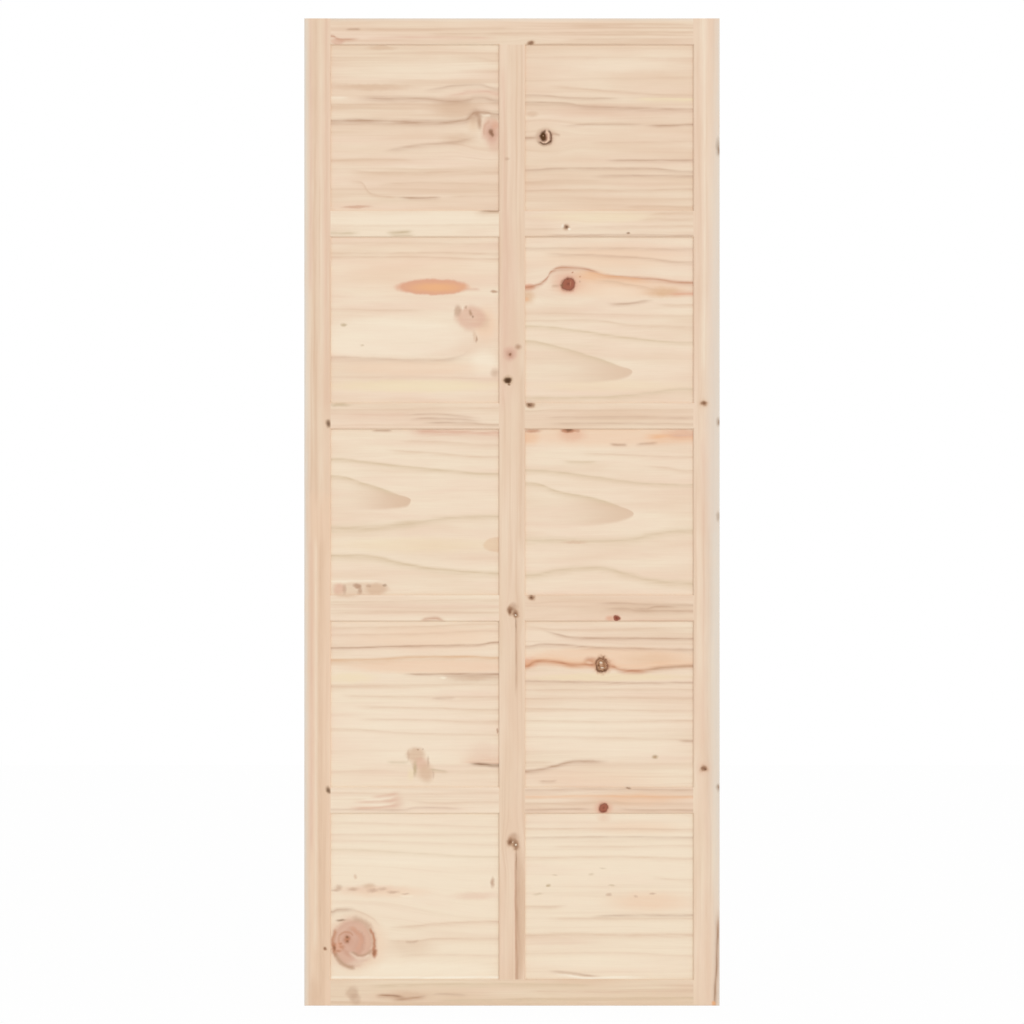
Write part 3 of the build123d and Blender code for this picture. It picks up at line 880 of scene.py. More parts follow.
panelLeft2 = dict(plainPanel, seed=23.2, blush=0.4, tone=0.05, grain=0.1)
panelLeft2["patches"] = dict(
    upperBlush=("peach", (415, 270), (110, 34), 0.9, 0.4),
    creamLobe=("pale", (385, 338), (92, 22), 0.4, 0.5),
    sidePeach=("peach", (486, 324), (17, 22), 0.8, 0.85),
    sideTan=("tan", (484, 322), (9, 11), 1, 0.5),
    secondLobe=("pale", (484, 362), (17, 15), 0.8, 0.6),
    knotBlush=("pink", (471, 318), (17, 14), 0.5, 0.85),
    knotStrip=("line", (457.6, 310.5), (4.6, 7.4), 0.8, 0.65),
    peachBand=("peach", (415, 368), (90, 9), 0.7, 0.45),
    yellowBand=("yellow", (415, 386), (110, 8), 0.7, 0.6),
    edgeBlush=("line", (495, 373), (6, 6), 1, 0.5),
)
panelLeft2["lines"] = dict(
    twinUpper=("tan", 1, 1.6, 0.55, (331, 253), (400, 253), (440, 252.6), (498, 254)),
    twinLower=("tan", 1, 1.6, 0.55, (331, 257), (400, 256.6), (440, 257.4), (498, 259)),
    midLine=("tan", 1, 2, 0.4, (331, 309), (380, 310), (430, 310)),
    lobeEdge=(
        "line", 1, 2.8, 0.35,
        (331, 357), (385, 359), (430, 360), (455, 357.6), (468, 351), (474, 343),
    ),
    foot=("tan", 1, 2, 0.35, (331, 377), (420, 377), (498, 379)),
    top=("tan", 1, 2, 0.3, (331, 243), (420, 243), (498, 244)),
    pocketTail=("pink", 1, 1.4, 0.8, (462, 289), (474, 288.8), (482, 289.6)),
)
panelLeft2["details"] = dict(
    resinPocket=("salmon", (432.6, 287), (37, 8.4), 0.3, 0.95),
    resinGlow=("orange", (436, 287.4), (36, 6.8), 0.9, 0.95),
    dashTop=("line", (466.4, 307.2), (1.6, 2.6), 1, 0.7),
    dashBody=("line", (470.2, 312.6), (2.5, 3.8), 1, 0.95),
    dashCore=("brown", (472.2, 316.4), (1.8, 2.4), 1, 0.6),
    edgeSmudge=("line", (494.6, 291.2), (4.6, 2.4), 0.9, 0.85),
    knotGap=("pale", (463.2, 308), (1.3, 3.6), 0.9, 0.5),
    lobeMark=("line", (476.4, 339), (1.8, 4.4), 0.9, 0.85),
    lobeRim=("tan", (474, 336), (3, 7), 0.8, 0.5),
    speck1=("khaki", (344, 325), (4, 2.6), 1, 0.8),
    speck2=("khaki", (361.6, 345.4), (3, 1.8), 1, 0.5),
)

panelRight2 = dict(plainPanel, seed=24.6, blush=0.45, tone=0.05, grain=0.1)
panelRight2["patches"] = dict(
    upperBlush=("peach", (610, 257), (100, 17), 0.9, 0.7),
    underLine=("peach", (625, 287), (85, 14), 0.7, 0.85),
    paleInner=("pale", (618, 292), (34, 8), 0.9, 0.3),
    knotHalo=("salmon", (568, 281), (22, 17), 0.8, 0.5),
    archOrange=("orange", (592, 276), (22, 8), 0.9, 0.5),
    leftSalmon=("salmon", (529, 287), (10, 4), 0.8, 0.8),
    leftOrange=("saffron", (529, 297), (9, 9), 0.9, 0.65),
    wedge=("saffron", (664, 292), (24, 7.4), 1, 0.85),
    yellowFoot=("yellow", (610, 386), (95, 8), 0.8, 0.35),
)
panelRight2["lines"] = dict(
    top1=("line", 1, 2, 0.35, (526, 248), (610, 248), (692, 249)),
    top2=("line", 1, 2.2, 0.4, (540, 253.6), (600, 255.4), (640, 257.6), (692, 262)),
    redLeft=(
        "rust", 1.2, 2, 0.85,
        (525, 287.4), (537, 285), (545.5, 279.5), (554, 270), (563, 267.4), (580, 268),
    ),
    archTop=("rust", 1.2, 1.9, 0.8, (552, 271.6), (563, 267.4), (580, 268), (595, 271.4), (605, 274.6)),
    redRight=("rust", 1.1, 2.2, 0.75, (590, 270), (605, 275), (655, 279), (692, 282.4)),
    redGlow=("orange", 0.5, 4.6, 0.55, (572, 268.4), (600, 274), (630, 277.6), (656, 281)),
    lensTop=("tan", 0.9, 2, 0.6, (586, 281), (605, 281), (630, 284.5), (650, 288), (664, 294)),
    lensFoot=("line", 0.9, 1.6, 0.75, (604, 303), (618, 304), (633, 303), (645, 301), (656, 300)),
    lensFootRight=("tan", 0.9, 1.8, 0.6, (652, 304), (670, 305), (692, 305)),
    line314=("tan", 1, 2, 0.4, (526, 313), (610, 314.6), (692, 316)),
    line326=("tan", 1, 2, 0.45, (526, 321), (585, 320), (630, 325), (692, 326.6)),
    line338=("oat", 1, 2.2, 0.8, (526, 326), (580, 331), (630, 338), (692, 342.6)),
    tongueEdge=("oat", 0.9, 2.4, 0.8, (528, 341), (550, 345), (593, 357), (626, 368.4)),
    foot=("oat", 1.5, 3, 0.7, (526, 398), (605, 397), (650, 393), (692, 389.4)),
    pinkWedge=("salmon", 2, 2.2, 0.8, (664, 294.6), (675, 294), (692, 293.6)),
    wisp=("line", 1, 1.4, 0.7, (550, 285.8), (556, 285.4), (563, 285)),
)
panelRight2["tongues"] = dict(
    lower=("tan", 0.65, [(526, 340), (550, 344.6), (593, 357), (622, 366.4), (631, 369.4)],
           [(526, 384), (580, 384), (610, 382), (622, 380), (631, 376)]),
)
panelRight2["knots"] = dict(main=("red", (568.6, 284.2), (6.8, 6.8)))
panelRight2["details"] = dict(
    orangeSpot=("orange", (527.4, 299.6), (4, 3), 1, 0.5),
    knotSpot=("dark", (567.8, 279.4), (1.2, 1.1), 0.9, 0.6),
    knotLobe=("brown", (562.8, 285), (2.4, 2.4), 1, 0.75),
    knotFleck=("rust", (570.6, 284), (0.9, 4.4), 1, 0.6),
    upperDot=("rust", (572.8, 272.4), (1.4, 1.2), 0.9, 0.8),
    rightDot=("rust", (580.2, 277), (1.5, 1.3), 0.9, 0.6),
    rightSmudge=("line", (580, 281.6), (1.6, 1.6), 0.9, 0.45),
)

panelLeft3 = dict(plainPanel, seed=25.1, blush=0.3, tone=0.05, grain=0.1)
panelLeft3["patches"] = dict(
    halfOval=("saffron", (497.4, 545), (14.5, 7.8), 0.3, 0.48),
    footGround=("tan", (360, 590), (32, 9), 0.5, 0.4),
    footLeft=("pink", (339, 589), (7, 7), 0.7, 0.8),
    footLeftCurl=("line", (344, 590), (3, 7), 0.9, 0.5),
    footLeftEnd=("pink", (337, 598), (5, 2), 0.8, 0.6),
    footWedge=("line", (357, 585.8), (6, 3), 0.8, 0.95),
    footWedgePoint=("line", (359.6, 590), (3.6, 6), 0.9, 0.7),
    footBlock=("tan", (377, 589), (13, 7), 0.6, 0.75),
    footBlockTop=("line", (369, 585.6), (3, 2), 0.8, 0.5),
    midCream=("yellow", (415, 545), (100, 10), 0.8, 0.4),
)
panelLeft3["lines"] = dict(
    darkTop=("line", 0.8, 1.2, 0.7, (370, 430.6), (382, 430.6), (394, 430.6)),
    pinkTop=("pink", 2.4, 4, 1, (403, 432.6), (430, 431.6), (460, 432), (498, 433)),
    line443=("tan", 1, 2, 0.45, (395, 440.4), (440, 442), (498, 445)),
    line453=("tan", 1, 2.2, 0.5, (380, 450), (420, 452), (498, 457)),
    line466=("oat", 1, 2.4, 0.9, (331, 459), (365, 462), (405, 466.6), (449, 470.6), (498, 474)),
    tongueEdge=("oat", 0.9, 2.6, 0.9, (331, 476), (365, 484), (392, 492.6), (408, 499)),
    tanBand=("oat", 2.6, 3.4, 0.9, (331, 528.6), (360, 528.6), (400, 525), (426, 522)),
    midLine=("oat", 1.8, 2.6, 0.8, (390, 525), (423, 522), (445, 518.6), (498, 516.6)),
    line565=("oat", 1.4, 3.2, 0.9, (331, 555.6), (362, 556), (400, 563), (440, 569.4), (498, 573)),
    footLight=("pale", 1, 1.4, 0.8, (333, 581.4), (360, 581), (392, 582)),
    lowerLight=("pale", 1, 1.4, 0.6, (333, 599.6), (400, 599), (470, 599)),
)
panelLeft3["tongues"] = dict(
    upper=("tan", 0.8, [(331, 476), (365, 484), (392, 492.6), (402, 495.6), (409, 498)],
           [(331, 511), (360, 511), (392, 510), (402, 509), (409, 505.6)]),
)
panelLeft3["details"] = dict(
    footSpot=("brown", (385, 585.6), (2.6, 2), 0.8, 0.5),
)

panelRight3 = dict(plainPanel, seed=26.8, blush=0.35, tone=0.05, grain=0.1)
panelRight3["patches"] = dict(
    pinkTop=("peach", (600, 436), (110, 14), 0.7, 0.7),
    knotBlush=("salmon", (572, 435), (18, 9), 0.9, 0.45),
    leftOrange=("orange", (530, 438), (14, 10), 0.9, 0.4),
    leftRed=("rust", (533, 431), (11, 2.6), 0.9, 0.7),
    pinkMark=("pink", (575, 542.6), (16, 2.2), 0.8, 0.75),
    cornerRed=("salmon", (680, 433), (22, 6), 0.9, 0.5),
)
panelRight3["lines"] = dict(
    brownLeft=("line", 0.9, 1.4, 0.8, (608, 443.6), (618, 444.6), (630, 444.6)),
    brownRight=("line", 0.9, 1.4, 0.7, (634, 444.6), (648, 443.6), (660, 442.4)),
    line455=("tan", 1, 2, 0.45, (575, 453), (630, 455), (692, 457)),
    line468=("tan", 1, 2, 0.5, (640, 466), (665, 468), (692, 471)),
    line476=("oat", 1, 2.4, 0.85, (526, 470), (560, 472.4), (600, 478), (650, 483.6), (692, 485)),
    tongueEdge=("oat", 0.9, 2.6, 0.9, (526, 483), (560, 492), (600, 500), (628, 510)),
    midLine=("oat", 2.4, 3.4, 0.75, (526, 540), (590, 541), (625, 540), (650, 535.6), (692, 531)),
    line575=(
        "oat", 2, 3.4, 0.8,
        (526, 575.6), (560, 570), (593, 568), (625, 574), (655, 581), (692, 584),
    ),
    orangeTop=("orange", 3, 4, 0.8, (638, 438), (660, 437), (692, 437)),
    redTop=("pink", 2, 2.6, 0.9, (664, 436), (678, 435.6), (692, 435)),
    line462=("oat", 1, 1.8, 0.7, (560, 461), (580, 462), (600, 461.6)),
)
panelRight3["tongues"] = dict(
    upper=("tan", 0.68, [(526, 483), (560, 492), (600, 500), (620, 506), (632, 511)],
           [(526, 527), (580, 527), (610, 524.6), (622, 522), (632, 518)]),
)
panelRight3["details"] = dict(
    knotSliver=("rust", (568.4, 430.8), (8, 3), 0.6, 0.9),
    sliverCore=("brown", (569, 430.4), (4.4, 2.2), 0.8, 0.9),
    sliverBlush=("rust", (577, 431), (4, 2.4), 0.8, 0.5),
)

panelLeft4 = dict(plainPanel, seed=27.4, blush=0.34, tone=-0.08, grain=0.3)
panelLeft4["patches"] = dict(
    peachBand=("peach", (430, 667), (100, 8), 0.6, 0.7),
    creamLeft=("yellow", (350, 678), (34, 7), 0.9, 0.55),
    topBlush=("peach", (430, 638), (100, 18), 0.8, 0.5),
    underDark=("tan", (474, 678.4), (38, 4.4), 1, 0.55),
    creamMiddle=("pale", (404, 732), (110, 44), 0.8, 0.42),
    edgeBlush=("pink", (484, 752), (20, 14), 0.9, 0.22),
    smudgeTop=("tan", (416, 755.4), (11.4, 9), 0.6, 0.8),
    smudgeMid=("pink", (421.4, 764), (10, 9), 0.8, 0.8),
    smudgeFoot=("tan", (426, 773), (10, 12.6), 0.8, 0.8),
    smudgeSide=("yellow", (411, 775), (5, 8), 0.9, 0.6),
)
panelLeft4["lines"] = dict(
    line628=("tan", 1, 2, 0.45, (331, 628), (420, 627), (498, 624)),
    line634=("tan", 1, 2, 0.45, (331, 635), (420, 634), (498, 631)),
    dark646=("line", 0.8, 1.5, 0.8, (331, 648), (399, 646.4), (477, 645), (498, 642.4)),
    line658=("saffron", 1, 3, 0.8, (331, 660), (385, 659), (411, 657), (465, 656.6), (498, 658)),
    dark674=("line", 0.8, 1.4, 0.85, (398, 674.4), (440, 674.2), (470, 674), (498, 674)),
    shade674=("line", 0.4, 5, 0.5, (436, 675), (455, 674.8), (475, 674.6), (498, 674.6)),
    line685=("tan", 1, 1.8, 0.45, (331, 686.4), (420, 685.6), (498, 684.4)),
    line697=("tan", 1, 1.8, 0.45, (336, 696), (420, 697), (498, 697)),
    line708=("tan", 1, 1.8, 0.5, (350, 707), (420, 708), (498, 710)),
    line720=("tan", 1, 1.8, 0.45, (350, 719), (420, 720), (498, 722)),
    line732=("tan", 1, 1.8, 0.4, (331, 729), (400, 733), (498, 735)),
    dash698=("line", 0.8, 1.2, 0.5, (430, 698), (445, 698.4), (459, 698)),
    endGlow=("resin", 5, 0.6, 0.4, (455, 763), (480, 763), (498, 763.6)),
    darkEnd=("brown", 1.1, 1.6, 0.95, (466, 763.6), (482, 764.4), (498, 765.4)),
    besideSmudge=("khaki", 1, 1.6, 0.6, (428, 769), (438, 770.6), (450, 772.6)),
    smudgeTail=("khaki", 1, 1.8, 0.4, (385, 762), (400, 762.4), (412, 762)),
    foot=("tan", 1, 1.8, 0.3, (331, 772), (380, 771), (405, 772)),
)
panelLeft4["details"] = dict(
    smudgeStrip=("khaki", (415.4, 769), (3.4, 10), 1, 0.85),
    smudgeEdge=("line", (408.4, 756), (1.6, 8), 0.9, 0.3),
    smudgeRim=("line", (428.4, 761.6), (1.6, 7), 0.9, 0.4),
    smudgeFootRim=("line", (433.6, 775), (1.4, 6), 0.9, 0.3),
    smudgeDot1=("line", (418.2, 750), (1.6, 1.1), 0.9, 0.7),
    smudgeDot2=("line", (423.4, 750), (1.5, 1.1), 0.9, 0.5),
    creamSpot=("pale", (443.6, 678), (5, 1.7), 0.9, 0.7),
    edgeMark=("line", (497.6, 731), (1.4, 3.6), 0.8, 0.8),
)

panelRight4 = dict(plainPanel, seed=28.3, blush=0.38, tone=0.02, grain=0.35)
panelRight4["patches"] = dict(
    peachBand=("peach", (610, 658), (100, 13), 0.5, 0.9),
    saffronRight=("saffron", (652, 659), (40, 9), 1, 0.35),
    creamBand=("yellow", (610, 677.4), (100, 5), 0.7, 0.6),
    leftBlush=("salmon", (530, 663), (12, 7), 0.9, 0.7),
    creamMiddle=("pale", (609, 732), (110, 40), 0.8, 0.4),
    footBlush=("peach", (600, 778), (90, 12), 0.9, 0.35),
    knotHalo=("salmon", (602, 665), (16, 10), 0.9, 0.55),
    knotLobe=("rust", (590.6, 661.4), (8.8, 5.2), 1, 0.75),
)
panelRight4["lines"] = dict(
    top=("tan", 1, 2, 0.4, (526, 627), (560, 630), (620, 629), (692, 628)),
    dark636=("line", 0.8, 1.6, 0.75, (540, 629), (560, 635), (580, 638), (643, 638.4), (692, 638.8)),
    line647=("line", 0.9, 2, 0.6, (526, 646.6), (545, 644.5), (593, 647.4), (618, 648), (692, 649.5)),
    glowLeft=(
        "orange", 3, 2.4, 0.75,
        (525, 666), (533, 663), (543, 661.4), (558, 662.4), (575, 665), (600, 664.6), (620, 669),
    ),
    brownLeft=(
        "rust", 1.5, 2, 0.85,
        (525, 666.6), (533, 663), (543, 661.4), (558, 662.4), (575, 665), (600, 664.6), (620, 669),
    ),
    glowRight=(
        "orange", 3.4, 2, 0.55,
        (600, 662), (618, 668.6), (633, 671), (648, 669.4), (665, 667.4), (692, 666),
    ),
    brownRight=(
        "rust", 1.4, 2.2, 0.9,
        (580, 664.6), (600, 664.4), (612, 666.6), (622, 670), (634, 671), (660, 668),
    ),
    brownEnd=("line", 1.3, 2.1, 0.9, (636, 671), (655, 668.6), (672, 667), (692, 666)),
    line682=("line", 0.8, 1.6, 0.55, (526, 681.4), (593, 682.4), (640, 683), (692, 682.6)),
    line690=("tan", 1, 1.8, 0.45, (526, 690), (692, 690)),
    line699=("tan", 1, 1.8, 0.45, (526, 699), (610, 698), (692, 699)),
    line710=("tan", 1, 1.8, 0.45, (526, 709), (610, 710), (692, 711)),
    line721=("tan", 1, 1.8, 0.45, (526, 721), (610, 722), (692, 721)),
    line738=("tan", 1, 1.8, 0.35, (526, 737), (610, 738), (692, 740)),
    footUpper=("tan", 1.2, 1.8, 0.6, (526, 763), (545, 762.4), (560, 764)),
    footCurve=("line", 1.3, 2, 0.8, (525, 771.6), (540, 770), (555, 766.4), (580, 761.6), (612, 761.6)),
    footDash=("line", 0.9, 1.6, 0.5, (537, 781.6), (548, 781.8), (559, 780.6)),
    edgeTick=("line", 1, 1.4, 0.6, (676, 741), (692, 741.4)),
)
panelRight4["knots"] = dict(main=("mottled", (602, 664.8), (6.2, 7.2)))
panelRight4["arcs"] = dict(
    footRim=("dark", (602.2, 665), (5.6, 6.4), 110, 75, 2, 0.5),
    topRim=("brown", (601.6, 664.6), (5.4, 6.4), 250, 60, 2, 0.6),
)
panelRight4["details"] = dict(
    gleamUpper=("pale", (601.8, 662.6), (1.5, 1.4), 0.9, 0.75),
    gleamFoot=("pale", (602.8, 667.6), (1.8, 1), 0.9, 0.75),
    knotCore=("dark", (599.2, 665.6), (1.7, 2), 1, 0.7),
    knotSpot=("dark", (605, 661.4), (1.4, 1.6), 1, 0.5),
    lobeInner=("peach", (589.4, 662.8), (4.4, 1.9), 1, 0.6),
    mark=("khaki", (655, 757.2), (4, 2.8), 0.9, 0.9),
    markCore=("line", (655, 757), (2, 1.4), 0.9, 0.7),
)

panelLeft5 = dict(plainPanel, seed=29.7, blush=0.02, tone=-0.2, grain=0.25)
panelLeft5["patches"] = dict(
    creamGround=("pale", (415, 896), (130, 110), 0.3, 0.36),
    creamBand=("pale", (415, 860), (100, 8), 0.9, 0.5),
    footCream=("pale", (420, 970), (100, 9), 0.7, 0.7),
    scratchBlush=("peach", (385, 892), (60, 8), 0.9, 0.5),
    sideBlush=("pink", (475, 896), (30, 5), 0.9, 0.4),
    besideKnot=("tan", (410, 948), (34, 11), 0.9, 0.35),
    knotHalo=("peach", (356, 944), (36, 32), 0.6, 0.6),
    scratchBand=("pink", (366, 889.6), (44, 5.4), 0.9, 0.32),
    scratch1=("line", (338.6, 888), (6, 4.2), 1, 0.55),
    scratch2=("line", (335, 891), (5, 2.2), 1, 0.5),
    scratch3=("line", (353, 889.6), (7, 2.8), 1, 0.5),
    scratch4=("tan", (369, 886), (8, 4), 1, 0.75),
    scratch5=("line", (373, 891), (7, 3), 1, 0.5),
    scratch6=("line", (382, 889.4), (6, 2.6), 1, 0.4),
    scratch7=("line", (393, 892.4), (8, 2.2), 1, 0.5),
    scratch8=("line", (405, 894), (5.6, 1.4), 1, 0.5),
    speck=("tan", (355, 877), (2, 3.4), 0.9, 0.6),
)
panelLeft5["lines"] = dict(
    line825=("tan", 1, 2, 0.32, (331, 823), (420, 825), (498, 827)),
    line835=("tan", 1, 2, 0.32, (331, 835), (420, 835), (498, 835)),
    line843=("tan", 1, 2, 0.3, (331, 841), (420, 843), (498, 845)),
    line853=("oat", 1, 2.2, 0.42, (333, 850), (405, 853), (498, 857)),
    scratchGleam=("pale", 0.8, 1.2, 0.7, (398, 896.4), (408, 896.6), (416, 895.6)),
    outerArc=("line", 1.4, 2.2, 0.7, (331, 912.4), (338, 910), (348, 909.6), (359, 911.6)),
    outerArcThin=("tan", 1, 1.8, 0.5, (348, 909.8), (362, 913), (374, 920), (382, 928)),
    rightUpper=("tan", 1, 2.4, 0.52, (384, 928), (413, 926.6), (437, 924), (498, 922)),
    rightLower=("tan", 1, 2.4, 0.48, (380, 938.4), (402, 941.4), (412, 941.4), (437, 939), (498, 939)),
    lowerDash=("line", 0.8, 1.3, 0.6, (404, 941.8), (411, 942.2), (420, 941)),
    rightFoot=("tan", 1, 2, 0.3, (388, 957), (440, 955), (498, 956)),
    # painted highlight: near-white along the panel's lower rim, above the bottom rail
    rimHighlight=("gleam", 0.9, 1.2, 1, (331, 977.8), (420, 978), (498, 977.6)),
)
panelLeft5["knots"] = dict(main=("rings", (352.6, 943), (21, 24.6)), heart=("pink", (347.2, 940), (6, 7)))
panelLeft5["arcs"] = dict(
    rimTop=("line", (353.4, 943), (20.4, 24), 320, 60, 5, 0.4),
    rimRight=("rust", (353.4, 943.6), (20.6, 25), 352, 32, 2.4, 0.85),
    rimLeft=("rust", (353, 943), (20, 25), 180, 36, 3.6, 0.75),
    rimFoot=("line", (353.4, 943), (20.4, 24.6), 122, 40, 4, 0.75),
    innerTop=("rust", (346.6, 941), (8.6, 8.4), 265, 65, 2, 0.5),
    innerRight=("resin", (347, 940.6), (13.6, 13), 350, 70, 3.6, 0.3),
    outerRight=("pink", (348, 941), (20, 18), 340, 50, 4, 0.4),
    innerLeft=("rust", (348, 941), (9.4, 10), 160, 50, 2, 0.4),
    lowerBright=("pale", (361, 942), (13, 17), 95, 55, 3.4, 0.4),
    lowerArc=("line", (361, 943.4), (12.6, 12.4), 85, 60, 2.2, 0.6),
)
panelLeft5["details"] = dict(
    topDash=("brown", (340.8, 920.6), (6.6, 1.8), 1, 0.7),
    lowerPale=("pale", (357, 963), (12, 4), 1, 0.3),
    redPatch=("salmon", (338.6, 947), (6, 7), 1, 0.6),
    redFleck=("rust", (340.6, 944.4), (3, 1.6), 1, 0.7),
    rimLeftDark=("rust", (334.2, 947.4), (2.8, 6.4), 0.9, 0.9),
    rimLeftCore=("brown", (334, 948.6), (1.7, 4), 1, 0.65),
    rimLeftFoot=("rust", (338.6, 951.4), (4.4, 1.7), 1, 0.7),
    rimRightDark=("rust", (374.4, 953.4), (3.8, 6), 0.9, 1),
    rimRightCore=("brown", (374, 953), (2.4, 4), 1, 0.5),
    innerSmear=("rust", (342, 947.4), (4.4, 2.2), 1, 0.5),
    heart=("rust", (347, 939.6), (4.6, 5.6), 0.9, 0.95),
    heartTop=("brown", (346.8, 937.4), (2.4, 2), 1, 0.8),
    heartFoot=("brown", (347.8, 941.8), (2.2, 2), 1, 0.75),
    edgeSmudge=("line", (493.4, 883), (2.8, 7), 1, 0.75),
)

panelRight5 = dict(plainPanel, seed=30.2, blush=0.08, tone=-0.18, grain=0.28)
panelRight5["patches"] = dict(
    creamGround=("pale", (609, 896), (130, 110), 0.3, 0.28),
    topBlush=("peach", (640, 828), (60, 9), 0.9, 0.4),
    peachSide=("peach", (650, 902), (55, 14), 0.9, 0.65),
    footCream=("pale", (600, 962), (90, 12), 0.9, 0.35),
    pinkFoot=("pink", (560, 941), (50, 7), 0.9, 0.25),
    knotBlush=("resin", (604, 818), (9, 6), 1, 0.25),
)
panelRight5["lines"] = dict(
    line829=("tan", 1, 2, 0.5, (526, 829), (610, 829), (692, 830)),
    line837=("line", 0.9, 1.8, 0.4, (526, 838), (610, 837), (692, 837.6)),
    line847=("tan", 1, 1.8, 0.35, (545, 847), (610, 847), (692, 846)),
    line858=("tan", 1, 2, 0.45, (526, 858), (610, 857), (692, 859)),
    line880=("tan", 1, 2, 0.35, (645, 877), (692, 880)),
    line907=("tan", 1, 2, 0.6, (526, 907), (545, 907), (572, 905)),
    dark915=("line", 0.8, 2, 0.5, (585, 917), (640, 915.4), (692, 915.4)),
    line919=("tan", 1, 2, 0.45, (543, 919), (620, 919), (692, 919)),
    line935=("tan", 1.6, 2.8, 0.6, (526, 936), (570, 934.4), (610, 935.4), (692, 935)),
    footCurve=("line", 0.9, 1.6, 0.65, (545, 971), (568, 973), (590, 976), (606, 977)),
    # painted highlight: near-white along the panel's lower rim, above the bottom rail
    rimHighlight=("gleam", 0.8, 1.4, 0.9, (550, 974), (570, 976), (592, 978.4), (620, 977.4), (650, 978)),
    line955=("tan", 1, 2, 0.3, (526, 954), (610, 953), (692, 956)),
)
panelRight5["details"] = dict(
    speck1=("khaki", (549, 885.6), (3, 2.2), 1, 0.9),
    speck2=("khaki", (612, 886), (5, 1.4), 1, 0.5),
    speck3=("line", (609.4, 895), (4.6, 2.2), 1, 0.5),
    speck4=("line", (653, 894), (4.4, 1.6), 1, 0.5),
    speck5=("khaki", (592, 874.6), (4.4, 2), 1, 0.4),
    speck6=("khaki", (555, 875.6), (4, 1.4), 1, 0.35),
    speck7=("khaki", (603, 868.6), (5, 1.3), 1, 0.35),
    speck8=("line", (636, 897), (2.8, 1.8), 1, 0.35),
    speck9=("khaki", (538, 894.6), (6.4, 1.8), 1, 0.4),
)

boards = dict(
    left_stile=leftStile,
    right_stile=rightStile,
    centre_mullion=centreMullion,
    top_rail=topRail,
    bottom_rail=bottomRail,
    cross_rail_1_left=railLeft1,
    cross_rail_2_left=railLeft2,
    cross_rail_3_left=railLeft3,
    cross_rail_4_left=railLeft4,
    cross_rail_1_right=railRight1,
    cross_rail_2_right=railRight2,
    cross_rail_3_right=railRight3,
    cross_rail_4_right=railRight4,
    panel_1_left=panelLeft1,
    panel_2_left=panelLeft2,
    panel_3_left=panelLeft3,
    panel_4_left=panelLeft4,
    panel_5_left=panelLeft5,
    panel_1_right=panelRight1,
    panel_2_right=panelRight2,
    panel_3_right=panelRight3,
    panel_4_right=panelRight4,
    panel_5_right=panelRight5,
)
for nodeName, board in boards.items():
    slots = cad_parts[nodeName].data.materials
    slots.clear()
    slots.append(boardMaterial(nodeName, board))
print("pine on", len(boards), "boards")

# Studio: white all round, a broad soft sun from the front, right and a little above, the world as fill
studio = dict(
    floorGap=0.012,  # metres under the leaf
    floorSize=12,
    floorColour="F2F1EF",
    whiteShare=0.97,  # of the floor as the camera sees it; the rest shows the shadow
    sunFrom=(0.5, -1, 0.36),
    sunStrength=0.76,
    sunAngle=0.9,  # radians
    fill=0.785,
    lens=100,  # mm, as is the sensor
    sensor=36,
)


# 1 on what the camera sees directly, in a mirror or through glass
def whiteForCamera(tree, share):
    path = addNode(tree, "ShaderNodeLightPath").node.outputs
    seen = {0: path["Is Camera Ray"], 1: path["Is Glossy Ray"]}
    seen = addNode(tree, "ShaderNodeMath", seen, operation="MAXIMUM")
    seen = addNode(tree, "ShaderNodeMath", {0: seen, 1: path["Is Transmission Ray"]}, operation="MAXIMUM")
    return addNode(tree, "ShaderNodeMath", {0: seen, 1: share}, operation="MULTIPLY")


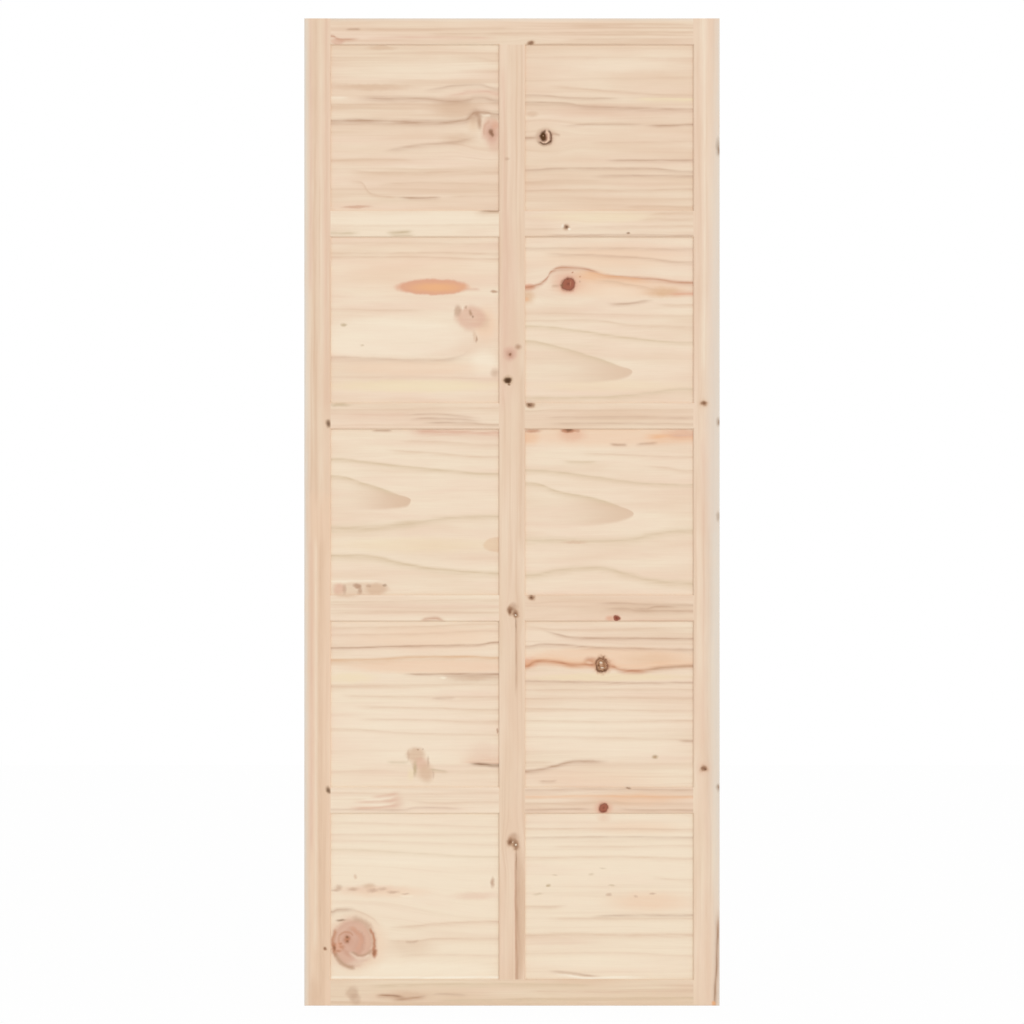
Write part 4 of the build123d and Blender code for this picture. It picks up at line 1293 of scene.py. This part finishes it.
# white where the camera looks past the leaf, an even fill for the light
world = bpy.data.worlds.new("studioWhite")
bpy.context.scene.world = world
world.use_nodes = True
world.node_tree.nodes.clear()
seen = whiteForCamera(world.node_tree, 1)
fill = addNode(world.node_tree, "ShaderNodeBackground", {0: (1, 1, 1, 1), 1: studio["fill"]})
white = addNode(world.node_tree, "ShaderNodeBackground", {0: (1, 1, 1, 1), 1: 1})
sky = addNode(world.node_tree, "ShaderNodeMixShader", {0: seen, 1: fill, 2: white})
addNode(world.node_tree, "ShaderNodeOutputWorld", {0: sky})

# a plain pale floor that keeps the shadow of the leaf
floorMesh = bpy.data.meshes.new("floor")
half = studio["floorSize"] / 2
level = cadBox[0][2] - studio["floorGap"]
corners = [(x * half, y * half, level) for x, y in ((-1, -1), (1, -1), (1, 1), (-1, 1))]
floorMesh.from_pydata(corners, [], [(0, 1, 2, 3)])
floor = bpy.data.objects.new("floor", floorMesh)
bpy.context.scene.collection.objects.link(floor)
pale = bpy.data.materials.new("paleFloor")
pale.use_nodes = True
pale.node_tree.nodes.clear()
seen = whiteForCamera(pale.node_tree, studio["whiteShare"])
matt = addNode(pale.node_tree, "ShaderNodeBsdfDiffuse", {0: linear(studio["floorColour"])})
glow = addNode(pale.node_tree, "ShaderNodeEmission", {0: (1, 1, 1, 1), 1: 1})
cover = addNode(pale.node_tree, "ShaderNodeMixShader", {0: seen, 1: matt, 2: glow})
addNode(pale.node_tree, "ShaderNodeOutputMaterial", {0: cover})
floorMesh.materials.append(pale)

sunLight = bpy.data.lights.new("softSun", "SUN")
sunLight.energy = studio["sunStrength"]
sunLight.angle = studio["sunAngle"]
sun = bpy.data.objects.new("softSun", sunLight)
sun.rotation_euler = (-Vector(studio["sunFrom"])).to_track_quat("-Z", "Y").to_euler()
bpy.context.scene.collection.objects.link(sun)

# Camera square on to the leaf, as far off as fills the photograph's frame
frameWidth = leafInPhoto["pixels"] * leafInPhoto["mmPerPixel"] / mmPerMetre
distance = frameWidth * studio["lens"] / studio["sensor"]
cameraData = bpy.data.cameras.new("photoCamera")
cameraData.lens = studio["lens"]
cameraData.sensor_width = studio["sensor"]
camera = bpy.data.objects.new("photoCamera", cameraData)
camera.location = (leafMiddle[0], cadBox[0][1] - distance, leafMiddle[2])
camera.rotation_euler = Vector((0, 1, 0)).to_track_quat("-Z", "Z").to_euler()
bpy.context.scene.collection.objects.link(camera)
bpy.context.scene.camera = camera
bpy.context.scene.view_settings.view_transform = "Standard"
print("studio and camera set")
